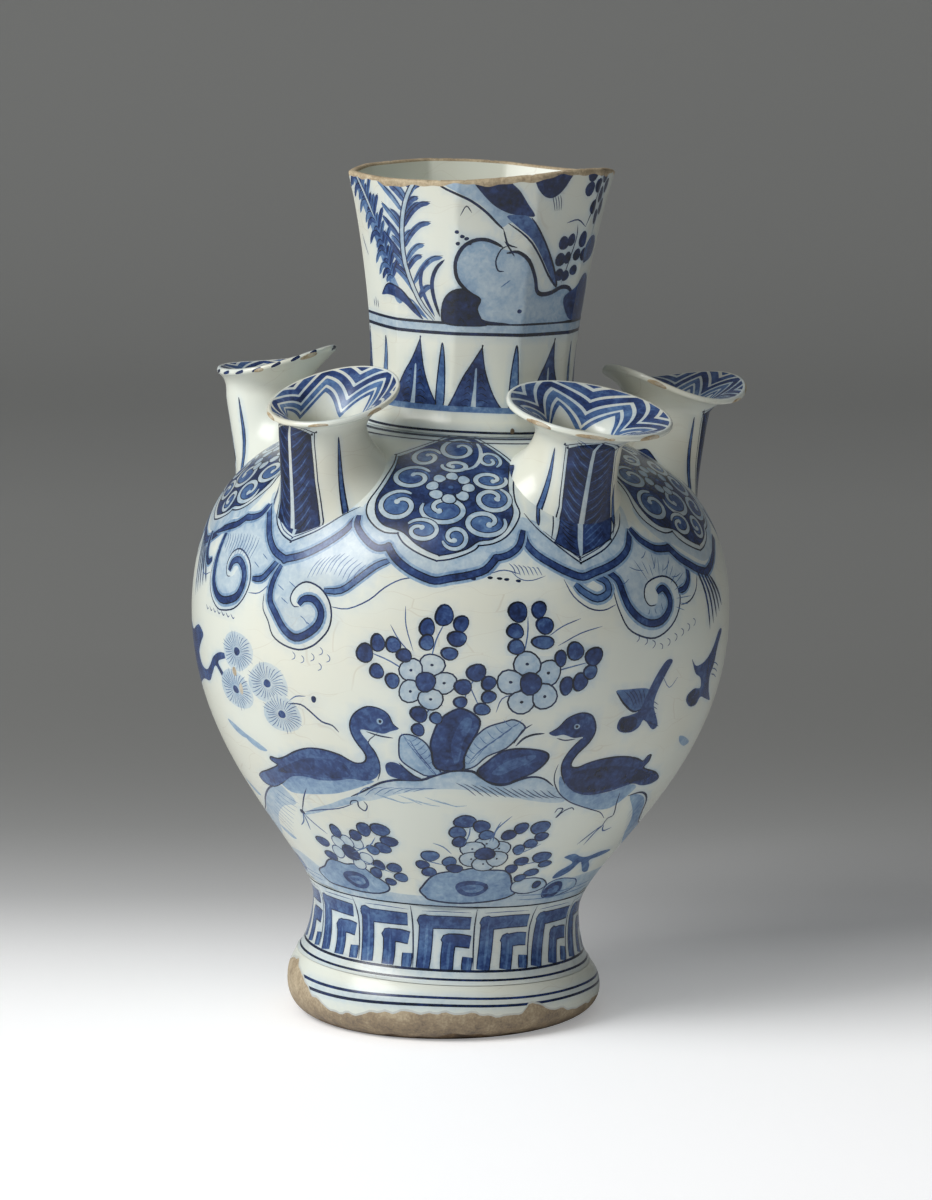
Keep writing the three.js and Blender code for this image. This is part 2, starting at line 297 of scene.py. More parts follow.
def run_out(uv, corners, ink, span, painted, stretch):
    """How much cobalt has run to each point: the ink of the faces, gathered in small cells and blurred
    over 1.3 real mm by a Gaussian, exp(-2 (pi reach f)^2) for each frequency f. The canvas is a ring."""
    cell, reach, margin = 0.75, 1.3, 10
    shares = np.array([[4, 1, 1], [1, 4, 1], [1, 1, 4], [2, 2, 2]]) / 6
    dots = np.einsum("sk,fkd->sfd", shares, uv[corners]).reshape(-1, 2)
    a, b, c = uv[corners].transpose(1, 0, 2)
    area = np.abs((b - a)[:, 0] * (c - a)[:, 1] - (b - a)[:, 1] * (c - a)[:, 0]) / 2
    cells = np.ceil(np.ptp((span, painted), axis=1) / cell).astype(int)
    size = np.ptp((span, painted), axis=1) / cells
    weights = np.tile(ink * area / 4, 4) / size.prod()
    field = np.histogram2d(*dots.T, cells, (span, painted), weights=weights)[0]
    field = np.pad(field, ((0, 0), (margin, margin)), "symmetric")
    round_pot = np.fft.fftfreq(len(field), size[0] / stretch)[:, None]
    upward = np.fft.rfftfreq(field.shape[1], size[1])
    blur = np.exp(-2 * (np.pi * reach) ** 2 * (round_pot**2 + upward**2))
    field = np.fft.irfft2(np.fft.rfft2(field) * blur, field.shape)[:, margin:-margin]
    at = np.clip((uv - (span[0], painted[0])) // size, 0, cells - 1).astype(int)
    reached = (uv[:, 1] > painted[0] - 1) & (uv[:, 1] < painted[1] + 1)
    return np.clip(field[at[:, 0] % cells[0], at[:, 1]], 0, 1) * reached


def cut_sheet(outlines, rows, span, columns):
    """The points and triangles of a flat sheet: a grid over the span round the pot and along the rows,
    joined by a Delaunay triangulation that has every outline among its edges."""
    grid_x, grid_y = np.meshgrid(np.linspace(*span, columns + 1), rows)
    points = [np.column_stack([grid_x.ravel(), grid_y.ravel()]), *outlines]
    quarters = np.arange(0, columns + 1, columns // 4)
    last = (len(rows) - 1) * (columns + 1)
    lines = [np.column_stack([quarters, last + quarters])]
    count = grid_x.size
    for outline in outlines:
        index = np.arange(count, count + len(outline))
        lines.append(np.column_stack([index, np.roll(index, -1)]))
        count += len(outline)
    # Edges that will be merged need the same points, so what meets one is marked on the opposite one too
    drawn = np.vstack(outlines)
    for axis, ends in ((0, span), (1, (rows[0], rows[-1]))):
        for here, there in (ends, ends[::-1]):
            met = drawn[drawn[:, axis] == here]
            met[:, axis] = there
            points.append(met)
    flat = [Vector(p) for p in np.vstack(points)]
    sheet = delaunay_2d_cdt(flat, np.vstack(lines).tolist(), [], 0, 1e-5, False)
    return np.array([tuple(p) for p in sheet[0]]), np.array(sheet[2])


def last_over(outlines, middles):
    """For the middle of each face, the last of the outlines that it lies in, or -1."""
    order = np.argsort(middles[:, 1])
    heights = middles[order, 1]
    top = np.full(len(middles), -1)
    for i, outline in enumerate(outlines):
        low, high = np.searchsorted(heights, (outline[:, 1].min(), outline[:, 1].max()))
        near = order[low:high]
        x = middles[near, 0]
        near = near[(x > outline[:, 0].min()) & (x < outline[:, 0].max())]
        top[near[within(outline, middles[near])]] = i
    return top


def painted_skin(name, surface, rows, brush, painted, span=full_turn, columns=120, holes=()):
    """One closed skin of clay. Its sheet is cut along every outline of the drawing, so each brush stroke
    has its own faces, and where strokes overlap, the last one shows. The sheet is then laid on the
    surface and its edges are merged. Each pair of holes is left open and joined by a tunnel."""
    drawing = fitted(brush.halos + brush.strokes, span, painted)
    outlines = [outline for outline, *_ in drawing] + list(holes)
    uv, corners = cut_sheet(outlines, rows, span, columns)
    top = last_over(outlines, uv[corners].mean(axis=1))
    kept = top < len(drawing)
    corners, top = corners[kept], top[kept]
    ink = np.array([ink for _, ink, _ in drawing] + [0.0])[top]
    bare = np.array([bare for _, _, bare in drawing] + [0.0])[top]

    # The sheet's points come back rounded, so those on its edges are put back where they were
    x = np.where(np.abs(uv[:, 0] - np.mean(span)) > np.ptp(span) / 2 - 1e-3, span[0], uv[:, 0])
    y = np.where(uv[:, 1] > rows[-1] - 1e-3, rows[-1], np.maximum(uv[:, 1], rows[0]))
    place = surface(x, y)
    run = run_out(uv, corners, ink, span, painted, brush.stretch(np.mean(painted)))
    # The painted part ends at sharp edges, and its normals there are taken a little inside it
    inside = y
    for edge, side in ((painted[0], 1), (painted[1], -1)):
        inside = np.where(np.abs(y - edge) < 0.2, edge + side * 0.2, inside)
    normal = facing(surface, x, inside)
    # Points that agree to 10 nanometres are one
    keys = np.round(place * 1e8).astype(np.int64)
    _, first, merged = np.unique(keys, axis=0, return_index=True, return_inverse=True)
    joined = merged.ravel()[corners]
    a, b, c = joined.T
    whole = (a != b) & (b != c) & (c != a)
    for along, edge in ((x, span[0]), (y, rows[0]), (y, rows[-1])):
        whole &= ~(along[corners] == edge).all(axis=1)
    joined, ink, bare = joined[whole], ink[whole], bare[whole]
    if holes:
        bridges = tunnels(joined, uv[first], holes)
        joined = np.vstack([joined, bridges])
        ink, bare = (np.append(values, np.zeros(len(bridges))) for values in (ink, bare))
    mesh = bpy.data.meshes.new(name)
    mesh.from_pydata(place[first].tolist(), [], joined.tolist())
    mesh.update()
    for label, values in (("ink", ink), ("bare", bare)):
        mesh.attributes.new(label, "FLOAT", "FACE").data.foreach_set("value", values)
    mesh.attributes.new("run", "FLOAT", "POINT").data.foreach_set("value", run[first])
    mesh.normals_split_custom_set_from_vertices(normal[first].tolist())
    piece = bpy.data.objects.new(name, mesh)
    bpy.context.scene.collection.objects.link(piece)
    return piece


def srgb(red, green, blue):
    """A colour as the eye reads it, from 0 to 255, as the linear colour that a shader takes."""
    c = np.array([red, green, blue]) / 255
    return tuple(np.where(c <= 0.04045, c / 12.92, ((c + 0.055) / 1.055) ** 2.4))


class Shade:
    """A shader value. Arithmetic on it adds Math nodes, and node adds any other kind."""

    def __init__(self, tree, socket=None):
        self.tree = tree
        self.socket = socket

    def node(self, kind, inputs=None, output=0, stops=None, blend="LINEAR", **settings):
        """Adds a node: its settings and a ramp's stops come first, then the values or links it reads."""
        made = self.tree.nodes.new("ShaderNode" + kind)
        for key, value in settings.items():
            setattr(made, key, value)
        if stops:
            ramp = made.color_ramp
            ramp.interpolation = blend
            for place, color in stops[2:]:
                ramp.elements.new(place)
            for element, (place, color) in zip(ramp.elements, stops):
                element.position = place
                element.color = (*color, 1)
        for key, value in (inputs or {}).items():
            if isinstance(value, Shade):
                self.tree.links.new(value.socket, made.inputs[key])
            else:
                made.inputs[key].default_value = value
        return Shade(self.tree, made.outputs[output])

    def into(self, shader, key):
        """Feeds this value to a shader's socket."""
        self.tree.links.new(self.socket, shader.inputs[key])

    def color(self, red, green, blue):
        """One colour, as the eye reads it."""
        made = self.node("RGB")
        made.socket.default_value = (*srgb(red, green, blue), 1)
        return made

    def math(self, operation, a, b):
        return self.node("Math", {0: a, 1: b}, operation=operation)

    def __add__(self, other):
        return self.math("ADD", self, other)

    def __sub__(self, other):
        return self.math("SUBTRACT", self, other)

    def __rsub__(self, other):
        return self.math("SUBTRACT", other, self)

    def __mul__(self, other):
        return self.math("MULTIPLY", self, other)

    __radd__ = __add__
    __rmul__ = __mul__

    def rise(self, low, high):
        """0 below low and 1 above high, with a smooth rise between."""
        return self.node("MapRange", {0: self, 1: low, 2: high}, interpolation_type="SMOOTHSTEP")

    def over(self, under, share):
        """This colour laid over another by a share."""
        mix = {"Factor": share, 6: under, 7: self}
        return self.node("Mix", mix, 2, data_type="RGBA")


def glazed_clay(name, warmth=0.4):
    """Tin-white glaze over cobalt painting. Thin cobalt is pale and clouded, thick cobalt is dark, and
    the clay shows brown where the glaze is gone."""
    material = bpy.data.materials.new(name)
    material.use_nodes = True
    shader = material.node_tree.nodes["Principled BSDF"]
    start = Shade(material.node_tree)
    where = start.node("TexCoord", output="Object")
    ink = start.node("Attribute", output="Fac", attribute_name="ink")
    bare = start.node("Attribute", output="Fac", attribute_name="bare")
    clouds = start.node("TexNoise", {"Vector": where, "Scale": 110.0, "Detail": 3.0})
    grains = start.node("TexNoise", {"Vector": where, "Scale": 1100.0, "Detail": 2.0})
    brushed = start.node("TexNoise", {"Vector": where, "Scale": 420.0, "Detail": 2.0, "Distortion": 0.6})
    pools = start.node("TexNoise", {"Vector": where, "Scale": 22.0, "Detail": 2.0})

    uneven = clouds - 0.5 + (brushed - 0.5) * 0.9 + (grains - 0.5) * 0.3
    run = start.node("Attribute", output="Fac", attribute_name="run")
    thin = 1 - ink
    laid = ink * (1.02 + uneven * (1 - ink * 0.55)) + run * thin * thin * (0.42 + uneven * 0.5)
    cobalt = laid.node(
        "ValToRGB",
        {"Fac": laid},
        stops=[
            (0.0, srgb(227, 231, 219)),
            (0.12, srgb(202, 215, 218)),
            (0.3, srgb(146, 173, 196)),
            (0.5, srgb(84, 117, 160)),
            (0.7, srgb(43, 67, 118)),
            (0.85, srgb(24, 40, 78)),
            (1.0, srgb(15, 24, 38)),
        ],
    )
    plain = 1 - ink.rise(0.02, 0.3)
    white = start.color(221, 217, 196).over(cobalt, pools.rise(0.35, 0.7) * warmth * plain)
    # Crazing: faint brown hairlines, mostly level, in patches
    sway = start.node("TexNoise", {"Vector": where, "Scale": 60.0, "Detail": 1.0}, 1)
    swayed = where.node("VectorMath", {0: sway, 1: (0.012, 0.012, 0.012), 2: where}, operation="MULTIPLY_ADD")
    level = start.node("Mapping", {"Vector": swayed, "Scale": (0.5, 0.5, 2.2), "Rotation": (0.1, -0.25, 0)})
    cracks = start.node("TexVoronoi", {"Vector": level, "Scale": 52.0}, feature="DISTANCE_TO_EDGE")
    hairline = (1 - cracks.rise(0.002, 0.013)) * pools.rise(0.45, 0.62) * plain
    white = start.color(172, 150, 118).over(white, hairline * 0.2)
    height = start.node("SeparateXYZ", {"Vector": where}, "Z")
    # The bare clay is darker in the lowest 16 mm above the ground
    clay = grains.node(
        "ValToRGB",
        {"Fac": grains * 0.3 + clouds * 0.4 + brushed * 0.25 + height.rise(0.002, 0.016) * 0.14 - 0.06},
        stops=[(0.3, srgb(98, 76, 54)), (0.47, srgb(150, 126, 92)), (0.68, srgb(204, 184, 148))],
    )
    clay = start.color(66, 50, 38).over(clay, ink * bare * clouds.rise(0.3, 0.65))
    clay.over(white, bare).into(shader, "Base Color")
    (0.2 + grains * 0.06 + bare * 0.5).into(shader, "Roughness")
    shader.inputs["IOR"].default_value = 1.5
    relief = start.node("Bump", {"Height": clouds * 0.5 + grains * 0.2, "Strength": 0.12, "Distance": 0.0006})
    relief.into(shader, "Normal")
    return material


foot_wall = Wall(
    curve((tread_outer, 0), (tread_outer + 6, 2), (foot_bulge, bulge_height - 6),
          (foot_bulge, bulge_height)),
    curve((foot_bulge, bulge_height), (foot_bulge, bulge_height + 7), (foot_neck + 1, foot_height - 3),
          (foot_neck, foot_height)),
    [(foot_neck, foot_height), (recess_radius, foot_height)],
    [(recess_radius, recess_lip)],
    [(tread_inner, 0), (tread_outer, 0)],
)
foot_marks = foot_wall.marks
foot_rows = rows_along((0, foot_marks[2], 1.6), (foot_marks[2], foot_marks[-1], 6))
mean_foot_radius = 65.0


def waves(*terms):
    """A sum of waves at way_round: each has its height, how many go round the pot, and its start."""
    return sum(height * np.sin(count * way_round / belly_radius + start) for height, count, start in terms)


on_foot = Brush(lambda y: belly_radius / mean_foot_radius)
# The pair of thin blue lines, drawn by a loose hand; a second pair stands on the cove above
for height, width, ink in ((20, 1.2, 0.88), (23.2, 1.1, 0.82)):
    on_foot.ring(ink, height, width, 0.7)
# Below them the glaze stops short. Its worn edge rises over three bare patches, the widest of them on the
# left, and the clay near the ground is dark
worn = 15 + waves((1.4, 3, 0.6), (0.9, 11, 0), (0.4, 29, 2), (0.35, 47, 0), (0.25, 67, 1))
for place, reach, rise in ((-150, 32, 12), (68, 9, 4), (-20, 25, 3)):
    worn += rise * np.exp(-(((way_round - place) / reach) ** 2))
on_foot.band(0.08, way_round, worn + 0.9, 0, 0.3)
on_foot.band(0.06, way_round, worn, 0, 0.9)
on_foot.band(1.0, way_round, 4.5 + waves((1.6, 5, 1), (1.2, 13, 0), (0.8, 31, 0)), 0, 0.94)


def foot_surface(x, y):
    """The foot's profile turned about its axis, with its seat slanted."""
    return standing(around(x, *foot_wall.at(y)))


foot = painted_skin("foot_ring", foot_surface, foot_rows, on_foot, (0, foot_marks[2]))
painted_glaze = glazed_clay("painted_glaze")
foot.data.materials.append(painted_glaze)
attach(foot, "root")
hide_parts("foot")

# Lower body
# The thrown lower half, from the narrow waist above the foot to the belly's widest line. Its painting
# is in cobalt under the glaze: a fret band, rocks and flowers, and a pair of geese beside a plant.

waist_radius, waist_height, belly_height = 56.7, 46.0, 173.0
waist_pull, pull_below_belly = 22.7, 66.9  # how far the wall's curve runs straight on from its two ends
cove_in, cove_up, cove_below = 3.5, 3.0, 8.0  # likewise for the cove between the foot and the waist
body_wall, seam_bevel, floor_thickness, floor_fillet, fillet_pull = 5.5, 3.0, 8.0, 9.0, 4.0
slip = 0.3


def leaning(points):
    """Points on the upright pot, leant about the foot's seat and set on the foot's axis, in metres."""
    x, y, rise = points[..., 0], points[..., 1], points[..., 2] - foot_height
    placed = [
        x * np.cos(lean) + rise * np.sin(lean) + foot_axis[0],
        y + foot_axis[1],
        foot_height - x * np.sin(lean) + rise * np.cos(lean),
    ]
    return np.stack(placed, -1) / 1000


def wall_below_belly(thickness):
    """From the waist up to the belly, moved in by a thickness."""
    low, high = waist_radius - thickness, belly_radius - thickness
    return curve((low, waist_height), (low, waist_height + waist_pull),
                 (high, belly_height - pull_below_belly), (high, belly_height), 160)


foot_seat = foot_height + slip
floor_height = foot_seat + floor_thickness
inner_waist = waist_radius - body_wall
fillet_end = inner_waist - floor_fillet
body_low_wall = Wall(
    [(0, foot_seat), (foot_neck, foot_seat)],
    curve((foot_neck, foot_seat), (foot_neck - cove_in, foot_seat + cove_up),
          (waist_radius, waist_height - cove_below), (waist_radius, waist_height)),
    wall_below_belly(0),
    [(belly_radius, belly_height), (belly_radius - body_wall, belly_height + seam_bevel)],
    wall_below_belly(body_wall)[::-1],
    curve((inner_waist, floor_height + floor_fillet), (inner_waist, floor_height + fillet_pull),
          (fillet_end + fillet_pull, floor_height), (fillet_end, floor_height)),
    [(fillet_end, floor_height), (0, floor_height)],
    origin=3,
)
low_marks = body_low_wall.marks
low_rows = rows_along((low_marks[0], low_marks[1], 12), (low_marks[1], 0, 3), (0, low_marks[4], 6),
                      (low_marks[4], low_marks[-1], 9))


def body_stretch(y):
    """Canvas mm for a real mm round the body at a canvas height."""
    return belly_radius / np.interp(np.minimum(y, 0), body_low_wall.length, body_low_wall.points[:, 0])


def flower(brush, x, y, petals, size=1.0, wide=1.0, turn=0.0, far=7.8):
    """An open flower: pale outlined petals, each with a dot, round a dark centre."""
    for a in np.radians(turn + 360 / petals * np.arange(petals)):
        px, py = x + far * size * wide * np.cos(a), y + far * size * np.sin(a)
        brush.spot(0.93, px, py, 5.5 * size * wide, 5.2 * size)
        brush.spot(0.15, px, py, 4.8 * size * wide, 4.5 * size)
        brush.spot(0.9, px, py, 0.7 * size, 0.6 * size)
    brush.spot(0.95, x, y, 4.7 * size * wide, 4.5 * size)
    brush.spot(0.72, x, y, 4.1 * size * wide, 3.9 * size)


def berries(brush, *dabs, ink=0.72):
    """Dark oval leaves: each is its place and its two radii."""
    for i, (x, y, rx, ry) in enumerate(np.reshape(dabs, (-1, 4))):
        brush.spot(0.95, x, y, rx + 0.4, ry + 0.4, count=16)
        brush.spot(ink - 0.07 * (i % 3), x + 0.25, y - 0.1, rx - 0.3, ry - 0.25, bleeds=False)


def veins(brush, ink, rib, count, reach):
    """A leaf's rib with short veins that slant up off both its sides."""
    brush.line(ink + 0.1, 0.5, *rib, fine=2)
    for x, y in smooth(rib)[:: len(rib) * 5 // (2 * count)]:
        for side in (-reach, reach):
            brush.line(ink, 0.35, x, y, x + side * 0.5, y + reach * 0.3, x + side, y + reach * 0.9, fine=2)


on_body = Brush(body_stretch)
group = Brush(body_stretch)

# The ground the geese stand on, its hatching and the hills behind
group.wash(0.15, -52, -71, -45, -66.5, -35, -60.7, -25, -58, -15, -57.2, -5, -53, 0, -51.5, 8, -51.5, 12, -54,
           18, -57.5, 24, -58, 30, -55.5, 36, -54, 42, -55, 48, -59, 57, -67, 50, -68, 36, -66, 20, -63,
           5, -61, -12, -62, -28, -66, -42, -71)
group.wash(0.22, -90, -86, -80, -81, -66, -76, -52, -70, -44, -70, -50, -73, -64, -78, -78, -83)
group.wash(0.2, -100, -71, -112, -75, -125, -82, -140, -92, -158, -96, -158, -108, -140, -104, -122, -92,
           -106, -84, -92, -80)
group.line(0.85, 1.0, -100, -71.5, -112, -75.5, -125, -82.5, -138, -90, -150, -94)
group.line(0.9, 1.3, -52, -70, -45, -66.5, -40, -63.5, -35, -60.7, -30, -59, -25, -58, -15, -57.2, -10, -55,
           -5, -53, 0, -51.5, 8, -51.5, 12, -54, 18, -57.5, 24, -58, 30, -55.5, 36, -54, 42, -55, 48, -59)
for i in range(13):
    x = 1 + 3.7 * i
    group.line(0.82, 0.45, x, -57.5 - 0.08 * x, x + 5, -60 - 0.1 * x, x + 10, -64 - 0.04 * x)
for i in range(7):
    group.line(0.5, 0.4, -8 - 5 * i, -61 - 0.3 * i, -14 - 5 * i, -61.8 - 0.5 * i, -19 - 5 * i, -63.6 - i)
group.wash(0.3, 101, -69, 112, -70, 122, -75, 130, -83, 142, -90, 156, -93, 158, -104, 144, -102, 130, -95,
           118, -82)
group.line(0.88, 1.1, 99, -68.7, 108, -68, 116, -70, 124, -75, 130, -82, 140, -89, 152, -92)

# Left goose
group.wash(0.3, -38, -60, -50, -60, -60, -62, -70, -63, -80, -63, -90, -65, -98, -69, -92, -74, -80, -73,
           -70, -71.5, -60, -69.5, -50, -66, -42, -62.5)
goose = (-24.5, -33.5, -27, -31.5, -29, -27.5, -33, -25.3, -38, -25, -42, -27, -45, -30, -46.5, -34, -46, -38,
         -44, -42, -41, -46, -40.3, -49, -42, -51.3, -46, -52, -50, -50.5, -54, -48.8, -62, -47.7, -70, -48.3,
         -78, -51, -86, -55, -92, -57, -97, -57, -98, -58.8, -94, -60.4, -98, -62.5, -106, -65.5, -112, -67.5,
         -117, -70.5, -114, -73.5, -106, -73.8, -98, -71, -92, -68)
group.wash(0.62, *goose, -86, -65, -78, -63.5, -68, -63.8, -58, -62.5, -50, -60.5, -42, -60.5, -37, -58.5,
           -34.3, -54.5, -34.2, -50, -36, -45, -38.5, -41, -41.5, -37, -40.5, -35.5, -32, -36.5, -28, -35)
group.wash(0.74, -52, -53, -62, -52, -74, -54, -86, -59, -96, -64, -88, -63.5, -76, -62, -62, -62, -50, -59)
group.line(0.92, 0.8, *goose)
group.line(0.9, 0.6, -34, -36.5, -38.5, -41, -36, -45, -34.2, -50, -34.3, -55, -36, -59.5)
group.line(0.9, 0.7, -39, -36.3, -33, -37.6, -27, -38)
group.spot(0.15, -32.7, -31, 1.5, 1.3)
group.spot(0.95, -32.6, -31, 0.7)
group.line(0.8, 0.7, -79, -70, -84, -76, -90, -84)
group.line(0.7, 0.6, -52, -74, -62, -78, -76, -81, -88, -84)
group.spot(0.85, -90.5, -84.5, 1.8, 1.4)
for toe in ((-99, -93.5), (-92, -95), (-78, -95)):
    group.line(0.6, 0.7, -90.5, -85, -90 + (toe[0] + 90) * 0.4, -90, *toe)
group.line(0.88, 0.7, -54, -75, -52.5, -72.5, -49, -72, -49, -75, -46, -77, -44, -74, -45.5, -71.5)

# Right goose
group.wash(0.28, 50, -54, 58, -61, 66, -64.5, 76, -65, 86, -64, 94, -62, 102, -64, 98, -69, 90, -74, 80, -74,
           70, -71.8, 62, -68.5, 53, -63)
goose = (40, -33, 44, -30.5, 47, -27, 51, -25, 55, -24.5, 59, -26, 61.5, -30, 62, -34, 60, -38.5, 56, -43,
         54, -47, 54.5, -49.5, 58, -50, 62, -48.5, 68, -47, 76, -46.3, 84, -46.8, 92, -48.5, 97, -50.5,
         99, -48.2, 101.5, -48, 102, -51, 100, -54, 106, -56, 113, -58, 119, -61, 120.5, -63, 115, -64.5)
group.wash(0.7, *goose, 106, -64, 98, -62, 92, -62.5, 85, -64, 76, -65, 68, -65, 60, -62.5, 54, -58, 50, -52,
           49.5, -46, 51, -42, 54, -38, 56.5, -35.5, 52, -35.7, 47, -34, 43, -34.5)
group.wash(0.8, 56, -53, 66, -51, 80, -51, 96, -54, 110, -60, 96, -61, 80, -63, 66, -63.5, 57, -59)
group.line(0.92, 0.8, *goose)
group.line(0.92, 0.7, 56, -36, 53, -39.5, 50.5, -43.5, 49.3, -48, 50.5, -53, 54, -58.5)
group.line(0.85, 0.6, 47.5, -48, 47, -53, 48.5, -58, 53, -63.5, 60, -68, 68, -71, 76, -73.5, 84, -76, 90, -80)
group.line(0.85, 0.6, 44, -35.5, 48, -36.6, 53, -36.2)
group.spot(0.12, 52.5, -30.5, 1.4, 1.2)
group.spot(0.95, 52.5, -30.5, 0.7)
group.line(0.85, 0.7, 91, -66, 93, -72, 96.5, -79, 93, -80.5, 92.5, -86)
for toe in ((81, -94.5), (87, -95.5), (103, -87)):
    group.line(0.65, 0.8, 93, -84, 92 + (toe[0] - 92) * 0.4, -88, *toe)
group.line(0.85, 0.7, 54, -74, 55, -71.5, 58, -72, 56, -76.5, 59, -73, 63, -71.5, 65, -73)

# Plant between them
group.edged(0.22, 0.85, 0.7, -6, -53, -9, -49, -10.5, -43, -13, -39, -17, -36.5, -21, -35.7, -24, -37,
            -24.7, -42, -24.5, -47, -22, -50, -17, -53, -12, -55)
veins(group, 0.5, (-8, -54, -13, -48, -17, -43, -20, -38), 7, 4)
group.wash(0.72, -31.5, -51.5, -29, -49.5, -25.5, -50, -22, -52.5, -18, -55.5, -15, -56.5, -20, -58,
           -26, -57.5, -30.5, -56)
group.line(0.92, 0.8, -25, -49.5, -22, -52.5, -18, -55.5, -15, -56.5)
group.edged(0.22, 0.88, 0.7, 4, -50, 5, -40, 10, -33, 14, -30, 20, -28, 24, -27, 29, -30, 27, -34, 22, -40,
            14, -44, 9, -49)
veins(group, 0.5, (6, -48, 10, -42, 17, -36, 25, -29), 8, 4)
group.edged(0.74, 0.95, 0.9, -8, -51, -10.3, -43, -10.8, -39, -9.5, -34, -8, -30, -5, -26, 0, -23, 3, -23,
            7, -25, 9.7, -28, 8.8, -33, 6, -39, 4, -45, 3.5, -51)
group.wash(0.62, 0, -48, -2, -40, 0, -32, 3, -27, 6, -27, 6, -31, 3, -38, 2, -46)
group.edged(0.72, 0.93, 0.9, 10.5, -51, 14, -47, 19, -42.5, 24, -40.5, 30, -40.2, 37, -41, 41, -42.5, 42, -45,
            40, -48.5, 36, -52, 30, -55, 24, -57.5, 17, -57, 12, -54)
group.wash(0.58, 17, -52, 22, -47, 29, -44, 36, -43.5, 33, -47, 27, -50, 21, -53)
group.line(0.9, 1.0, 26, -39, 29, -35.5, 33, -33.7, 38, -33.2)
group.line(0.85, 0.7, 25, -38, 28, -32, 32, -29)

# Flowers and leaves above the plant
for xy in ((-23.3, 18, -22.5, 10, -19, 0), (-29, 10, -25, 4, -20, -1), (-17, -24, -12, -20, -6, -22),
           (16, -24, 18, -18, 23, -16), (10, -24, 6, -16, 3, -10), (40, 4, 50, 9, 60, 11.5),
           (36, 8, 42, 12, 50, 15)):
    group.line(0.62, 0.5, *xy)
for stem in ((-12, -5, -10, 5, -7, 12), (25, -3, 27, 8, 27, 16), (-19, -10, -28, -5, -37, -2),
             (37, -7, 45, -5, 54, -3), (2, -21, 4, -14, 7, -9), (-9, -20, -13, -26, -16, -31)):
    group.line(0.55, 0.6, *stem)
flower(group, -13.5, -12.3, 5, 0.97, turn=0)
flower(group, 29.5, -11.5, 5, 1.08, turn=32)
berries(group, -39.3, -2.5, 3.7, 3.7, -34, 2.2, 3, 3.4, -27.5, 2, 3.2, 3, -22.8, -2, 3, 2.7,
        -34, -9.5, 3, 2.9, -27.3, -12.8, 3, 3, -16, -26.3, 3.5, 3.4, -16.3, -33.2, 2.6, 2.8,
        -8.8, -27.5, 2.6, 2.4, -7.3, 15.3, 3.8, 4, -14, 10, 3.2, 3.5, -13.8, 4, 3, 3, -0.3, 12.3, 3, 3.2,
        -1.7, 6.2, 4, 2.9, -4.4, 0, 3.2, 2.6, 6.8, -7.3, 3.8, 3.6, 12, -11.5, 3, 2.8, 12.4, -17.3, 3, 2.5,
        1.7, -13.5, 3.3, 3.3, 1, -20, 2.6, 2.4, 10, -22.7, 3.4, 2.4, 22.7, 17.8, 4, 3.9, 21.8, 10, 3.4, 3,
        22.5, 3.6, 3.4, 2.9, 31.6, 18.8, 3, 3.4, 34.2, 12.4, 3.6, 3.4, 33.6, 5.6, 4.6, 2.7, 45, -12.5, 2.7, 4,
        51, -11, 3.2, 3.9, 55.3, -7, 3.2, 2.8, 56.5, -0.6, 4, 3.7, 41.5, -1, 2.5, 3.2, 47.8, 1.8, 3.8, 3.6)

# Pine bough on the left
group.wash(0.68, -176, -10, -160, -11, -151, -8, -145, -7, -139.5, -10, -144, -14, -149, -19, -147, -24,
           -140, -25, -134, -22, -128, -17, -120, -14, -111, -14.8, -118, -16.5, -124, -19, -120, -23,
           -122, -24.5, -127, -21, -132, -25, -138, -29.5, -148, -30.5, -160, -34, -176, -37)
for x, y, rx, ry in ((-107, -11.5, 12, 9), (-111, -28.5, 13, 9.5), (-88, -22, 13, 9.5),
                     (-81.5, -34.5, 12, 9)):
    group.spot(0.14, x, y, 0.92 * rx, 0.92 * ry, count=24)
    for i, a in enumerate(np.radians(np.arange(0, 360, 12))):
        reach = 0.86 + 0.14 * np.sin(5 * i)
        group.line(0.5 + 0.14 * (i % 2), 0.35, x + 0.25 * rx * np.cos(a), y + 0.25 * ry * np.sin(a),
                   x + 0.7 * rx * np.cos(a + 0.05), y + 0.7 * ry * np.sin(a + 0.05),
                   x + rx * reach * np.cos(a), y + ry * reach * np.sin(a), fine=2)
    group.spot(0.68, x, y, 2.2, 1.8)
group.spot(0.0, -110, -20.5, 1.6, 2.0, bare=0.8)
group.spot(0.0, -106.5, -27.5, 1.4, 2.6, bare=0.6)
group.line(0.8, 0.8, -77, -29, -70, -28.3, -65, -31, -60, -34.5, -55, -35.5, -52, -38.3)
group.line(0.55, 0.5, -76, -27.5, -72, -25, -67, -24.3)
group.spot(0.85, -63, -25, 1.3, 1.5)

# Two birds on the right
group.wash(0.5, 69, -16, 75, -15.5, 85, -15.8, 88, -18, 86, -24, 80, -25.5, 74, -21.5)
group.wash(0.68, 84, -25, 87, -17, 91, -10, 96, -5, 100, -5.5, 97, -10, 93, -17, 92, -24, 98, -33, 95, -35,
           88, -30, 86, -33, 82, -35, 76, -34.5, 73, -32, 74, -28, 79, -27)
group.spot(0.85, 79, -31, 5.4, 3.6)
group.line(0.92, 0.9, 69, -16, 74, -21.5, 80, -25.5, 85, -25)
group.line(0.8, 0.8, 88, -30, 93, -32, 99, -34)
group.line(0.5, 0.4, 94, -11, 100, -17, 105, -13)
for i in range(5):
    group.line(0.75, 0.4, 73 + 2.6 * i, -16, 77 + 2 * i, -19, 80 + 1.6 * i, -23)
    group.line(0.7, 0.4, 88, -21 - 1.6 * i, 91, -22 - 2 * i, 95, -24 - 2 * i)
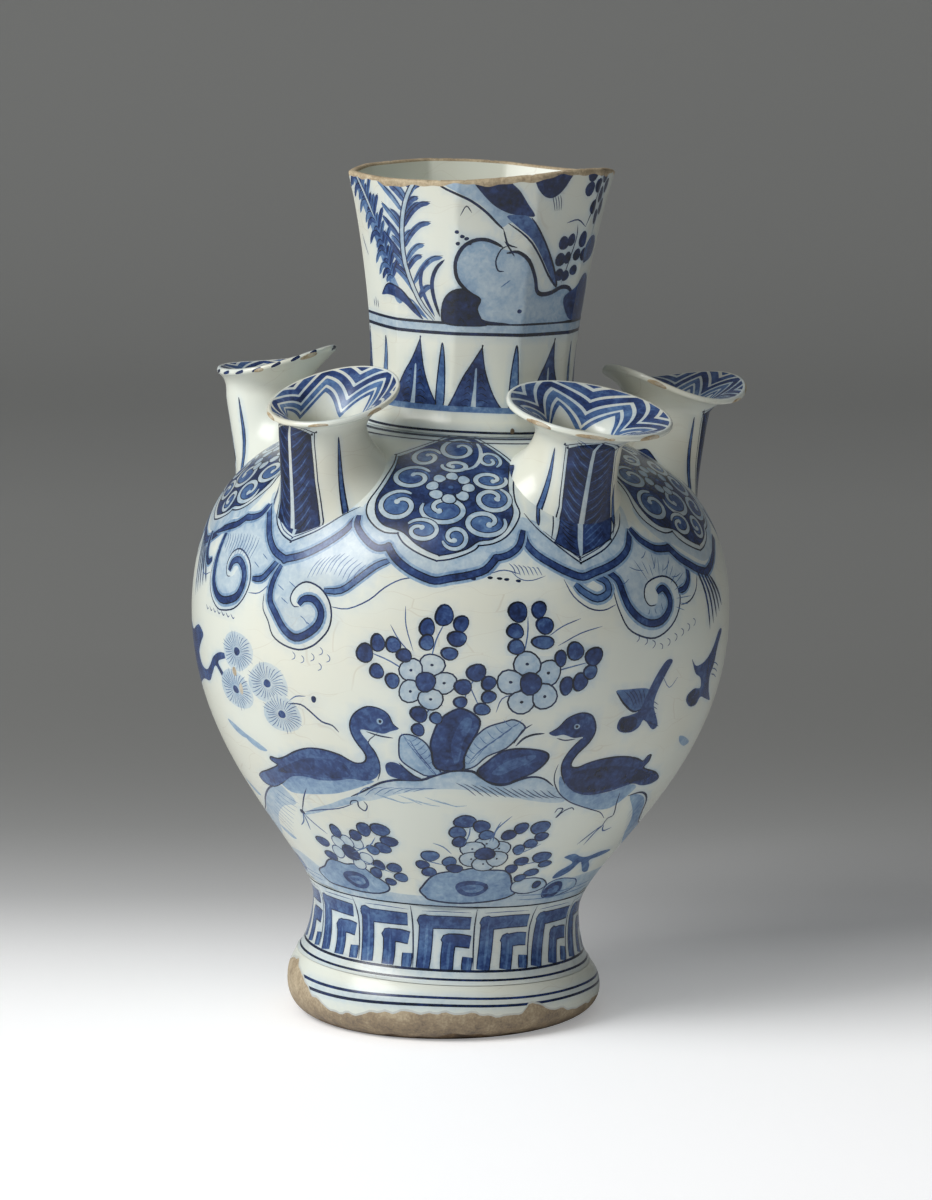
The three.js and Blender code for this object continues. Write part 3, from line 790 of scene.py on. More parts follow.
group.wash(0.7, 114.5, -6.5, 119, -10, 127, -9, 134, -5, 140, 1, 144, 2.5, 146, 1, 141, -5, 139, -12,
           136, -17, 140, -24, 147, -29, 138, -27, 130, -25, 127, -28, 121, -28, 116, -25, 116, -22, 121, -20,
           127, -20.5, 125, -16, 119, -13)
group.spot(0.85, 122.5, -24, 5.6, 3.6)
for y in (-13, -15.5, -18):
    group.line(0.6, 0.5, 137, y + 2, 142, y + 1, 147, y - 1)

# Lower register: rocks with a dark eye, flowers and leaves growing out of them
group.wash(0.16, -160, -117, -130, -113, -110, -118, -95, -122, -60, -124, -30, -125, 0, -124, 40, -120,
           80, -118, 120, -116, 160, -118, 160, -129, -160, -129)
group.edged(0.3, 0.88, 0.8, -112, -121, -100, -117, -92, -112.5, -85, -110.8, -75, -112, -68, -111,
            -61, -111.5, -56, -114.5, -49, -118, -44, -121, -46, -124.5, -60, -127, -90, -127, -106, -126)
group.edged(0.3, 0.9, 0.9, -12, -127, -17, -125, -20.5, -122, -18, -119, -13, -114, -8, -111, -2, -109.5,
            8, -108, 16, -106.5, 25, -107.5, 36, -108, 42, -111, 47, -118, 52, -122, 40, -126, 10, -128)
group.edged(0.14, 0.8, 0.7, 46, -117, 50, -114.5, 60, -113.5, 70, -115, 76, -119, 70, -122, 58, -123,
            48, -121)
group.edged(0.2, 0.7, 0.6, 76, -120, 80, -117, 88, -116, 98, -117, 108, -119, 112, -124, 90, -127, 78, -126)
for x, y, rx in ((-71, -120.5, 12), (17, -119, 12.5), (86, -122.5, 10), (-150, -122, 11)):
    group.spot(0.7, x, y, rx, 4.6, count=24)
    group.spot(0.4, x + 1, y - 0.2, rx - 4.5, 2.4, count=20)
    group.spot(0.55, x - rx * 0.2, y + 0.2, rx - 7, 1.2, count=16)
for x, y in ((-58, -97), (-55, -106), (-65, -97.5), (-72, -99), (-76, -105), (-62, -110)):
    group.spot(0.7, x, y, 5, 4)
    group.spot(0.1, x, y, 4.3, 3.4)
group.spot(0.95, -65.5, -104, 6.7, 4.7)
group.spot(0.78, -65.5, -104, 6.0, 4.1)
flower(group, 21, -97.5, 6, 0.95, 1.45, 32, 6.6)
berries(group, -86, -100.5, 5.2, 2.8, -85, -108.5, 5.2, 2.6, -70.5, -92, 3.8, 3.5, -57, -92.5, 4, 3,
        -50, -88, 4.2, 4, -40, -87, 6, 3.3, -36, -93.5, 5.2, 3, -41, -98, 5.2, 3, -48, -100, 4, 2.8,
        -47, -109, 4.2, 2.8, -36.5, -109.5, 5, 2.8, -33, -115, 5.2, 2.4, -41.5, -118.5, 4, 2,
        -51, -114, 4.5, 3, -12, -100, 5.5, 3.2, -17, -105.8, 4.2, 2.6, -13, -110, 5, 2.6, 0, -103, 4.4, 3,
        3.5, -107, 5.5, 2.4, 7, -78.5, 5.8, 3.6, 3.5, -85, 4.8, 3.4, 5, -90.5, 4.2, 3, 16, -81, 4.6, 3.4,
        19.5, -86, 4, 2.8, 32, -86, 4, 3, 38, -82, 3.8, 3.2, 49, -82, 5.8, 3.6, 52, -87.5, 4, 2.6,
        47, -91.5, 4.2, 2.6, 41, -95, 3.6, 3, 46, -102.5, 4.6, 2.6, 59, -100.5, 6.4, 3.4, 64, -105, 4.6, 2,
        41, -107, 4.2, 2.6, 57, -110, 5.4, 2.2, 50, -113, 4.4, 2.1, 66.5, -118, 3.6, 2, ink=0.7)
for stem in ((-65, -104, -50, -98, -44, -92), (-65, -106, -50, -110, -38, -113),
             (-4, -105, -10, -104, -15, -103), (22, -90, 25, -82, 31, -75), (24, -90, 24, -84, 26, -78),
             (40, -98, 46, -96, 54, -92), (42, -104, 52, -104, 62, -102), (8, -92, 10, -86, 10, -81),
             (-10, -92, -4, -94, 1, -98)):
    group.line(0.5, 0.6, *stem)
group.wash(0.5, 77, -102, 84, -100.5, 92, -103, 100, -104, 112, -102.5, 124, -103, 128, -104.5, 116, -106,
           106, -107, 112, -111, 116, -115, 108, -114, 100, -109, 96, -107, 92, -112, 84, -115, 78, -115,
           80, -111, 88, -107, 84, -104.5)
for i in range(9):
    group.line(0.45, 0.4, -104 - 3 * i, -75 - 2.2 * i, -98 - 3 * i, -78 - 2.4 * i,
               -90 - 3.4 * i, -80 - 2.8 * i)
    group.line(0.45, 0.4, 116 + 3 * i, -72 - 2.4 * i, 113 + 3 * i, -77 - 2.6 * i, 112 + 3 * i, -82 - 2.6 * i)
    group.line(0.3, 0.4, -40 + 4.4 * i, -66 - (i % 3), -34 + 4.4 * i, -68 - (i % 3),
               -28 + 4.4 * i, -69.5 - (i % 2))
for y in (-124, -126.5):
    group.line(0.45, 0.5, 55, y, 80, y - 0.5, 110, y, 150, y + 1)
    group.line(0.45, 0.5, -160, y + 1, -130, y, -112, y - 0.5)
for x, y in ((-125, -101), (-140, -80), (130, -44), (-118, -47), (-106, -51)):
    group.wash(0.28, x - 9, y + 2.5, x - 2, y + 1, x + 8, y - 3, x + 2, y - 4, x - 6, y - 1)
# The back of the pot has the same group
on_body.add(group, -np.pi * belly_radius)
on_body.add(group)

# The lowest scroll of the collar, at the front left, hangs over the seam with curls under it
hanging = (-84, -1, -78, -4, -70, -5, -64, -3, -60, 0, -56, 5, -55, 11, -57, 17, -62, 21.5, -69, 23, -74, 20,
           -76, 15.5)
on_body.wash(0.03, -91, 15, -90, 8, -87, 4, *hanging, -73.5, 12.5, -70, 13, -67, 17, -61, 13, -63, 5, -72, 0,
             -82, 6, -87, 13)
on_body.rope(-84, 28, -87, 20.5, -87, 13, -83, 8, -78, 2.5, -72, -0.3, -66, 2, -61, 6.5, -60, 12, -64, 16.3,
             -69, 16, -71.3, 13.3)
on_body.line(0.86, 0.8, -91, 15, -90.5, 9, -87, 4.5, *hanging, -74, 12.5, -71, 12.5)
for x, y in ((-73, -6.2), (-68.5, -7), (-63.5, -5.5), (-59.5, -2.5), (-60, -9), (-56, -5)):
    on_body.line(0.6, 0.4, x, y, x + 1.3, y - 1.2, x + 1.1, y - 2.6, x - 0.4, y - 3.4)

# Fret band round the waist: hooks, one within the other
on_body.lay(np.array([[full_turn[0], -158], [full_turn[1], -158], [full_turn[1], -130.5],
                      [full_turn[0], -130.5]]), 0.05)
fret_pitch = 2 * np.pi * belly_radius / 14
shaky = np.random.default_rng(5)
for i in range(-8, 6):
    left = -22 + fret_pitch * i
    slant = 0.2 * np.clip((left + 22) / 51, -2, 2)
    for hook, width in (((5, -158, 5.2, -148, 5.2, -138.2, 5.2, -138.2, 24, -137.8, 43, -137.8), 5.8),
                        ((24.2, -158, 24.8, -152, 25, -146, 25, -146, 34, -145.6, 43, -146), 5.4),
                        ((40.4, -158, 40.8, -152.4), 4.2)):
        points = np.reshape(hook, (-1, 2)) + shaky.uniform(-0.5, 0.5, (len(hook) // 2, 2)) * (1, 0.6)
        points[0, 1] = -158
        points[:, 0] += left + slant * (points[:, 1] + 147)
        on_body.line(0.88, width + 0.5, *points.ravel(), ends=0.94)
        on_body.line(0.6, width - 0.5, *points.ravel(), ends=0.92)
        on_body.line(0.46, 1.2, *(points[:3] + (0.8, 0)).ravel())
    on_body.line(0.9, 0.7, left + 45.6 - slant * 12, -158, left + 46, -145, left + 46.6 + slant * 14, -131)
    on_body.line(0.6, 0.4, left + 2, -133.2, left + 20, -132.8, left + 42, -133)
on_body.ring(0.9, -130.4, 0.7)
on_body.ring(0.93, -158.8, 1.1)
on_body.ring(0.9, -162.6, 1.0)


def low_surface(x, y):
    """The lower body's profile turned about the pot's axis, then leant."""
    return leaning(around(x, *body_low_wall.at(y)))


lower_body = painted_skin("lower_body_painted", low_surface, low_rows, on_body, (low_marks[1], 0))
lower_body.data.materials.append(painted_glaze)
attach(lower_body, "root")
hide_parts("lower_body")

# Shoulder
# The dome from the belly line to the neck, thrown apart and luted on. Five holes are bored through it
# under the spouts. Scroll panels and a cloud collar are painted round it.

shoulder_radius, shoulder_height = 46.5, 252.3
pull_above_belly, pull_from_neck = 43.0, 47.0
bore_of_neck = 39.0
shoulder_slope = np.radians(12)


def wall_above_belly(thickness):
    """From the belly up to the foot of the neck, moved in and down by a thickness."""
    low = belly_radius - thickness
    top = np.array([shoulder_radius, shoulder_height - thickness])
    pull = top + pull_from_neck * np.array([np.cos(shoulder_slope), -np.sin(shoulder_slope)])
    return curve((low, belly_height), (low, belly_height + pull_above_belly), pull, top, 160)


dome_wall = Wall(
    wall_above_belly(0),
    [(shoulder_radius, shoulder_height), (bore_of_neck, shoulder_height)],
    [(bore_of_neck, shoulder_height - body_wall), (shoulder_radius, shoulder_height - body_wall)],
    wall_above_belly(body_wall)[::-1],
    [(belly_radius - body_wall, belly_height + seam_bevel), (belly_radius, belly_height)],
)
dome_marks = dome_wall.marks
dome_rows = rows_along((0, dome_marks[1], 3), (dome_marks[1], dome_marks[3], 4),
                       (dome_marks[3], dome_marks[-1], 6))


def dome_stretch(y):
    """Canvas mm for a real mm round the dome at a canvas height."""
    return belly_radius / np.interp(np.clip(y, 0, dome_marks[1]), dome_wall.length, dome_wall.points[:, 0])


def scroll(brush, x, y, rx, ry, start, hand):
    """A white scroll: a spiral wound inwards from its start angle to a round bulb, to the left for hand 1
    and to the right for -1."""
    turns, ink, width = 1.25, 0.09, 2.0 if rx > 7.7 else 1.7
    t = np.linspace(0, 1, 19)
    angle = np.radians(start) + hand * 2 * np.pi * turns * t
    shrink = 1 - 0.86 * t**2.4
    path = np.column_stack([x + rx * shrink * np.cos(angle), y + ry * shrink * np.sin(angle)])
    brush.line(0.96, width + 0.9, *path.ravel(), ends=0.5, fine=2)
    brush.line(ink, width, *path.ravel(), ends=0.4, fine=2)
    brush.spot(ink, path[-2, 0], path[-2, 1], width * 0.75, width * 0.65)


def scroll_panel(brush):
    """A pointed panel of white scrolls round a rosette on dark blue, as it lies between two spouts."""
    edge = (-51, 91.5, -51, 91.5, -48, 85, -47.5, 76, -48.3, 68, -50, 61, -48.5, 55, -43, 50, -37, 47.5,
            -31, 47.6, -31, 47.6, -28, 44, -23, 41, -17, 38.6, -12, 37.2, -12, 37.2, -7, 38, -1, 40, 4, 42.5,
            6, 44.5, 6, 44.5, 12, 45.5, 18, 48.5, 23, 54, 26, 60, 24.6, 66, 25, 73, 27, 80, 29, 86, 29.8, 90,
            29.8, 90, 27, 95, 21, 102, 13, 109, 2, 116, -8, 119, -18, 116, -28, 109, -40, 100)
    brush.edged(0.04, 0.93, 0.7, *edge)
    ground = (-48, 90, -48, 90, -45.2, 82, -45, 72, -46.3, 63, -44, 55.5, -39, 51, -33, 49.5, -28, 48,
              -22, 43.8, -16, 41, -11, 39.5, -11, 39.5, -5, 40.8, 1, 43, 6, 46.4, 12, 47.5, 17.5, 51,
              21.5, 57, 22.8, 62, 22, 68, 22.5, 76, 25, 84, 27, 89.5, 27, 89.5, 22, 97, 13, 105.5, 3, 112,
              -8, 114.5, -19, 111.5, -30, 104.5, -40, 96)
    brush.edged(0.76, 0.95, 0.6, *ground)
    for x, y, rx, ry, start, hand in (
            (-8, 101, 13.5, 9.5, 40, 1), (-29, 92, 9.5, 6.5, 30, 1), (-31.5, 77, 11, 6.6, 40, 1),
            (-34, 61, 9.6, 7.2, 60, 1), (-11.5, 60.5, 11, 6.6, 160, 1), (9, 55, 9.5, 6, 20, -1),
            (13, 67, 9, 6.4, 60, -1), (12.5, 78, 9.4, 5, 20, -1), (14, 92, 7.5, 6, -60, 1),
            (-20.5, 50, 7.6, 4.8, 150, -1), (-5, 47.5, 5.6, 5, 200, 1), (-9, 86.5, 8, 3.6, 170, 1)):
        brush.spot(0.54, x, y, rx * 0.84, ry * 0.8, bleeds=False)
        scroll(brush, x, y, rx, ry, start, hand)
    brush.line(0.06, 1.6, -2, 84, 4, 87, 8, 94, 8.5, 102, 6, 108)
    rosette = np.array([-9.5, 72.6])
    for a in np.radians(np.arange(0, 360, 45)):
        petal = rosette + (9.8 * np.cos(a), 6.6 * np.sin(a))
        brush.spot(0.95, *petal, 4.1, 3.0)
        brush.spot(0.14, *petal, 3.4, 2.4)
    brush.spot(0.96, *rosette, 6.6, 4.6)
    brush.spot(0.78, *rosette, 5.9, 4.0)
    brush.spot(0.55, -9.3, 72.4, 1.4, 1.0)


on_dome = Brush(dome_stretch)
collar = Brush(dome_stretch)  # what lies round one spout, from the panel on its left to the one on its right

# Under the spout at the front right: two clouds, a pale lappet band and its cobalt line
collar.wash(0.13, 43, 33, 52, 33, 62, 35, 70, 38, 78, 43, 83, 50, 88, 45, 95, 42, 104, 41.5, 110, 37, 114, 32,
            113, 25, 104, 22, 97, 14, 88, 10, 78, 13, 71, 21, 68, 30, 62, 33, 56, 30, 50, 26, 45, 29)
curl = (102, 13, 105, 20, 103, 26, 97, 29.5, 90, 29.5, 84, 27, 82.5, 22, 85, 18.5)
collar.wash(0.03, 66, 31, 67, 23, 69, 17, 73, 10, 80, 6.5, 88, 5, 96, 8, *curl, 90, 19, 88, 13, 80, 15,
            74, 20, 71, 28)
collar.wash(0.16, 74, 22, 80, 15, 87, 13.5, 93, 15, 95, 20, 91, 23, 89, 18, 84, 18, 82, 23, 85, 28, 80, 33,
            74, 31)
collar.rope(63, 34.5, 69, 30, 71, 24.5, 73.5, 19, 78.5, 14, 85, 11.2, 92, 11.8, 97, 16, 97.6, 21, 94, 25,
            90, 23.5)
collar.line(0.88, 0.8, 66, 27, 67, 22, 69, 16.5, 73, 10, 80, 6.3, 88, 5, 96, 7.8, *curl, 89, 18.5)
collar.rope(104, 23, 109, 23.5, 113, 27, 114, 33, width=2.2)
collar.line(0.8, 0.7, 105, 17, 112, 18, 118, 22, 121, 28)
collar.rope(48, 29, 52, 25.5, 58, 22.8, 63.5, 25, 63, 29.5, 57, 32, ink=0.5)
collar.line(0.75, 0.6, 43, 31, 47, 24, 54, 19, 61, 18, 67, 20)
for i, a in enumerate(np.radians(np.arange(-20, 130, 10))):
    ray = np.array([np.cos(a), 0.9 * np.sin(a)])
    near, far = 11 + 2 * (i % 2), 17.5 + 2.5 * (i % 3)
    path = [(91, 20) + reach * ray for reach in (near, (near + far) / 2, far)]
    collar.line(0.5, 0.35, *np.ravel(path), fine=2)
for x, y, dx, dy in ((76, 35, 8, -2), (84, 38, 4, 3), (90, 33, 3, 5), (96, 32, 6, 4), (101, 29, 7, 1),
                     (70, 28, 5, 2), (88, 17, 1, -2), (85, 17, -1, -2), (92, 19, 1, -3)):
    collar.line(0.55, 0.4, x, y, x + dx / 2, y + dy / 2 - 0.6, x + dx, y + dy)
for i in range(9):
    x, y = 77 + 4.6 * i, 2.6 + abs(i - 3) * 1.6
    collar.line(0.7, 0.4, x, y, x + 1.6, y - 0.8, x + 1.8, y - 2.2, x + 0.4, y - 3.4)
lower_edge = (26.5, 51.5, 27.5, 46, 32, 41, 40, 36.3, 46, 33.5, 52, 31.8, 58, 33.5, 65, 35.5, 72, 38.5,
              78, 43, 82.5, 51)
collar.wash(0.15, 27, 58, *lower_edge, 84, 62, 76, 60, 52, 50)
collar.rope(*lower_edge)
collar.rope(83, 51.5, 85, 48, 88, 45, 95, 41.5, 104, 41, 104, 41, 110, 36, 116, 33, 123, 30, 131, 28, 131, 28,
            138, 30, 146, 34, 152, 37.5, 158, 40)
collar.wash(0.02, 33.5, 54.5, 33.5, 54.5, 37, 50, 42, 45.5, 47, 41.5, 51.8, 38, 51.8, 38, 58, 40.5, 65, 43.5,
            71, 47.5, 77, 53, 82, 60, 78, 70, 66, 80, 50, 78, 38, 66)
collar.line(0.9, 0.7, 28, 60, 31, 55.5, 35, 51, 42, 45, 47, 41, 51.8, 37.6, 51.8, 37.6, 58, 40, 65, 43,
            71, 47, 77, 52.5, 81, 58.5)
collar.line(0.8, 0.45, 36, 51.7, 42, 46.6, 51.8, 39.4, 51.8, 39.4, 64, 44.4, 70, 48.6, 75.5, 53.6)
collar.edged(0.73, 0.93, 0.6, 41, 46.6, 41, 46.6, 45, 44, 51.7, 40.4, 51.7, 40.4, 59, 43, 69.5, 47.2,
             69.5, 47.2, 73, 54, 76, 62, 76, 72, 48, 72, 46.8, 60, 43.8, 52)
collar.wash(0.1, 51.9, 40.6, 51.9, 40.6, 53.2, 41.2, 55, 48, 57.6, 56, 60, 66, 57, 66, 54.8, 56, 52.2, 47)
collar.line(0.9, 0.6, 39.4, 48, 41.5, 54, 43.5, 62)
collar.line(0.85, 0.6, 71.5, 48.6, 74.5, 54, 77.5, 61)
collar.edged(0.62, 0.92, 0.5, 34.3, 54.2, 35.4, 57, 36.5, 62, 39, 68, 37, 68, 35, 62, 33.8, 57)
collar.edged(0.62, 0.92, 0.5, 74.4, 53.2, 76.6, 57, 78.5, 62, 82, 68, 80, 68, 76.6, 62, 74.6, 57)

for i in range(5):
    collar.line(0.8, 1.7, 121 + 3 * i, 31 - i, 127 + 3.6 * i, 19, 130 + 4 * i, 4 + 2 * i, ends=0.1)
for i in range(6):
    y = 42 + 2.6 * i
    collar.line(0.56, 0.5, 54.6 + 0.7 * i, y, 60, y + 2.4, 66 + i, y + 7)
    collar.line(0.96, 0.5, 51 + 0.5 * i, y + 1, 48.4, y + 3, 45.4, y + 7)

panel = Brush(dome_stretch)
scroll_panel(panel)
# Strokes as close as these cut the skin finely enough without halos
panel.halos.clear()
collar.halos.clear()
fifth = 2 * np.pi * belly_radius / 5
for i in (-3, -2, 0, 1):
    on_dome.add(collar, i * fifth)

# Under the spout at the front left, where the two clouds are of one size
left = Brush(dome_stretch)
left.wash(0.13, -131, 36, -122, 41, -112, 46, -107, 48, -102, 43, -96, 35, -88, 31, -92, 24, -100, 19,
          -103, 12, -112, 8, -122, 7, -131, 12, -133, 25)
left.wash(0.13, -84, 29, -88, 22, -89, 12, -84, 4, -76, -1, -66, 0, -60, 6, -58, 14, -58, 21, -50, 22,
          -42, 28, -36, 34, -35, 39, -45, 41, -52, 50, -60, 43, -70, 34, -80, 30)
curl = (-131, 8, -124, 4, -118, 4, -110, 6, -104, 11, -101, 18, -103, 25, -108, 29, -114, 30.5, -119, 28,
        -121, 23)
left.wash(0.03, -135, 20, -134, 12, *curl, -118.5, 18.5, -114, 19, -110, 24, -106, 18, -109, 12, -120, 8,
          -130, 14)
left.rope(-131, 35, -132, 25, -131, 15.5, -127, 10.3, -121, 8, -114, 9, -108, 12, -105.5, 18, -107, 23,
          -112, 26, -116.5, 24.5, -118, 20.5)
left.line(0.85, 0.7, -134.5, 24, -135, 15, *curl, -119, 18.5, -116, 18.5)
left.rope(-100, 20, -94, 21, -90, 25, -85.5, 31, ink=0.55, width=2.2)
left.line(0.55, 0.5, -101, 14, -94, 15, -88, 20)
left.rope(-149, 33, -147, 25, -142, 20.5, -137, 22.5, width=2.2)
left.line(0.6, 0.5, -153, 27, -149, 18, -143, 15, -136, 17)
left.rope(-60, 20.5, -52, 21.5, -45, 27, -38, 33, -32, 36, ink=0.5, width=2.4)
left.line(0.7, 0.6, -56, 14.5, -48, 14.5, -39, 19, -33, 24.5, -26, 28.6, -18, 30)
for i in range(12):
    left.line(0.55, 0.4, -129 + 2.4 * i, 38 - abs(i - 8) * 0.4, -127 + 2.2 * i, 33,
              -127 + 2 * i, 28 - (i % 2))
    left.line(0.5, 0.4, -64 + 2.2 * i, 37 - abs(i - 5) * 0.7, -67 + 2.1 * i, 33 - abs(i - 5) * 0.7,
              -69 + 2.1 * i, 28 - abs(i - 5) * 0.7)
for x, y, d in ((-101, 27, 1), (-97, 31, 1), (-84, 20, 1), (-81, 15, 1), (-78, 22, 1), (-70, 9, 2),
                (-67, 7, 2), (-96, 35, 1)):
    left.line(0.5, 0.4, x, y, x + 2, y - 1, x + 4, y - 1 - d)
for i in range(7):
    left.line(0.7, 0.5, -136 + 4 * i, 3.4, -134 + 4 * i, 1.8, -133 + 4 * i, 2.6)
right_edge, tip = (-53, 53, -55, 48, -59, 43.5, -66, 38, -74, 33.5), (-83, 30.6)
left_edge = (-90, 33, -96, 38, -102, 46, -107, 52)
left.wash(0.15, -52, 58, *right_edge, *tip, *left_edge, -110, 58, -100, 62, -80, 52)
left.rope(*right_edge, *tip, *tip, *left_edge, ink=0.6)
left.rope(-107, 52, -109, 47, -114, 44.6, -119, 43.8, -119, 43.8, -124, 40, -130, 38, -136, 36, -142, 34)
left.wash(0.02, -59.5, 54.5, -59.5, 54.5, -65, 49.5, -71, 45, -77, 41.5, -82.4, 39.2, -82.4, 39.2, -89, 41,
          -95, 45, -100, 51.5, -106, 58, -108, 66, -100, 78, -80, 80, -60, 66)
left.line(0.9, 0.7, -53, 58, -60, 53.2, -66, 48, -72, 43.6, -82.4, 38.3, -82.4, 38.3, -88.5, 40.2, -95, 44.5,
          -101, 51.8, -107, 58.5)
left.line(0.75, 0.45, -61, 54.2, -66, 49.8, -72, 45.2, -82.4, 40, -82.4, 40, -89, 42.2, -94.5, 46.5, -100, 53)
left.wash(0.8, -70.5, 46.5, -70.5, 46.5, -76, 43.6, -82.4, 41, -82.4, 41, -88, 43, -96, 48, -99, 54, -101, 64,
          -92, 70, -72, 66, -68, 56)
left.wash(0.1, -83.6, 41.4, -83.6, 41.4, -82, 41, -82.2, 48, -83.8, 58, -86, 68, -89, 66, -86.4, 56,
          -84.6, 48)
left.line(0.88, 0.6, -69, 48, -68.3, 53, -66, 60)
for i in range(6):
    y = 43 + 2.6 * i
    left.line(0.56, 0.5, -82, y, -78, y + 2.2, -72 + 0.6 * i, y + 6)
    left.line(0.96, 0.5, -84.4, y, -88, y + 2.4, -93, y + 6)
left.edged(0.72, 0.92, 0.5, -58.6, 55, -58.6, 55, -57, 60, -58, 66, -60.5, 66, -61.8, 60, -60.6, 55,
           -60.6, 55)
left.halos.clear()
on_dome.add(left)

# The panels between the spouts, and the front one's own cobalt line with its pale band
hem = Brush(dome_stretch)
hem.wash(0.15, -52, 56, -44, 46, -34, 42, -22, 36, -11, 32.5, 2, 35, 12, 41.5, 20, 44, 26, 54, 20, 62,
         -10, 50, -46, 62)
for i in (-3, -2, -1, 1):
    on_dome.add(hem, i * fifth)
    on_dome.add(panel, i * fifth)
front = (-52, 54, -51, 49, -45, 43.5, -39, 40.5, -34, 41.5, -34, 41.5, -30, 37, -24, 33, -18, 30.5, -12, 29,
         -6, 30.3, 2, 32, 9, 34.5, 13.5, 39.5, 13.5, 39.5, 19, 41, 24, 45, 26.5, 52)
on_dome.wash(0.15, *front, 22, 60, -10, 52, -46, 62)
on_dome.rope(*front)
on_dome.add(panel)
on_dome.line(0.6, 0.5, 11, 33, 17, 34.6, 24, 33)
on_dome.line(0.6, 0.4, 20, 34, 24, 31, 29, 30.6, 35, 32.5)
for i in range(7):
    on_dome.line(0.55, 0.4, 19 + 2 * i, 37.5 - 0.3 * i, 21 + 1.8 * i, 35.5, 22 + 1.9 * i, 32.6)
for x in (4, 11, 15, 18, 23):
    on_dome.spot(0.9, x, 31.4 - abs(x - 12) * 0.1, 1.2, 0.6)
on_dome.add(on_body)
for y, width in ((dome_marks[1] - 2, 2.2), (dome_marks[1] - 7, 1.3)):
    on_dome.ring(0.93, y, width)


def dome_surface(x, y):
    """The dome's profile turned about the pot's axis, then leant."""
    return leaning(around(x, *dome_wall.at(y)))


spout_ring, first_spout = 89.0, 32.7
tube_radius, bore_radius = 18.0, 14.0
flare_depth, lip_thickness = 14.0, 2.4
# Each spout was made by hand: its place on the ring, its mouth's radius and rise over the shoulder's top,
# how far the mouth is off the tube, outwards and sideways, the tube's lean, the mouth's tilt, and the height
# and turn of the saddle that the lip is bent to
Spout = namedtuple("Spout", "place mouth_radius rise outward sideways lean tilt saddle saddle_turn")
spout_shapes = {
    "spout_front_left": Spout(4, 27.0, 17.2, -4.0, 3.4, 8.0, 20.5, 0.4, 0.0),
    "spout_front_right": Spout(0, 34.0, 17.9, 0.0, 3.0, 12.0, 12.0, 0.2, 0.0),
    "spout_right": Spout(1, 30.5, 20.4, 1.5, 0.0, 6.0, 5.0, 4.2, 22.0),
    "spout_back": Spout(2, 29.0, 17.7, -1.0, 1.5, 9.0, 13.0, 1.0, 0.0),
    "spout_left": Spout(3, 25.5, 18.2, -6.5, 0.0, 12.0, 14.0, 1.6, 0.0),
}


def spout_place(shape, points):
    """Points by a spout's own tube, -Y outwards and height 0 at the mouth, moved to the upright pot."""
    turn, tip = np.radians(first_spout + 360 / len(spout_shapes) * shape.place), np.radians(shape.lean)
    x = points[..., 0] - shape.sideways
    y = points[..., 1] * np.cos(tip) - points[..., 2] * np.sin(tip) - (spout_ring - shape.outward)
    z = points[..., 1] * np.sin(tip) + points[..., 2] * np.cos(tip) + shoulder_height + shape.rise
    return np.stack([x * np.cos(turn) - y * np.sin(turn), x * np.sin(turn) + y * np.cos(turn), z], -1)


def dome_height(radius, thickness=0):
    """Height of the dome's outer or inner surface at a radius."""
    profile = wall_above_belly(thickness)[::-1]
    return np.interp(radius, profile[:, 0], profile[:, 1])


def dome_canvas(points, inside=False):
    """Canvas place of points on the dome's outer or inner surface: the way round and along the wall."""
    part = dome_wall.parts[3 if inside else 0]
    radius, length = dome_wall.points[part, 0], dome_wall.length[part]
    order = np.argsort(radius)
    way = np.arctan2(points[..., 0], -points[..., 1]) * belly_radius
    way = way - (way > seam) * 2 * np.pi * belly_radius
    along = np.interp(np.hypot(points[..., 0], points[..., 1]), radius[order], length[order])
    return np.stack([way, along], -1)


def meeting(lines, thickness=0):
    """Where lines of points, each from above the dome to below it, pass through its surface."""
    over = lines[..., 2] - dome_height(np.hypot(lines[..., 0], lines[..., 1]), thickness)
    index = np.arange(lines.shape[1])
    met = [np.interp(0, -row, index) for row in over]
    return np.array([[np.interp(m, index, row[:, i]) for i in range(3)] for m, row in zip(met, lines)])


def bore_outline(shape, inside):
    """Canvas outline of the hole that a spout's bore makes in the dome's outer or inner surface."""
    turn = np.linspace(-np.pi, np.pi, 36, endpoint=False)
    angle, depth = np.meshgrid(turn, np.linspace(-16, -80, 200), indexing="ij")
    hole_radius = bore_radius + slip
    lines = np.stack([hole_radius * np.sin(angle), -hole_radius * np.cos(angle), depth], -1)
    met = meeting(spout_place(shape, lines), body_wall if inside else 0)
    return dome_canvas(met, inside)


dome_holes = [bore_outline(shape, inside) for shape in spout_shapes.values() for inside in (False, True)]
shoulder = painted_skin("shoulder_painted", dome_surface, dome_rows, on_dome, (0, dome_marks[1]),
                        holes=dome_holes)
shoulder.data.materials.append(painted_glaze)
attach(shoulder, "root")
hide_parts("shoulder")

# Neck
# A ten-sided tube pressed in a mould, its corners softened, flaring to a rim that was never quite level
# and is worn to the clay. Rocks, fronds and a long-tailed bird above a band of pointed leaves.

neck_length, neck_waist, neck_waist_rise, neck_cove = 106.4, 43.4, 25.4, 12.0
rim_radius, rim_wall = 56.2, 3.6
neck_seat = shoulder_height + slip
rim_height = neck_seat + neck_length
facets, facet_turn, facet_softness, facet_fade = 10, -10.0, 0.55, 16.0
pull_up, pull_down, rim_slope = 14.0, 26.0, np.radians(75)
rim_waves = ((1, 2.7, 70.0), (2, 1.7, 45.0), (3, 0.7, 60.0))  # lobes, height and crest of each wave

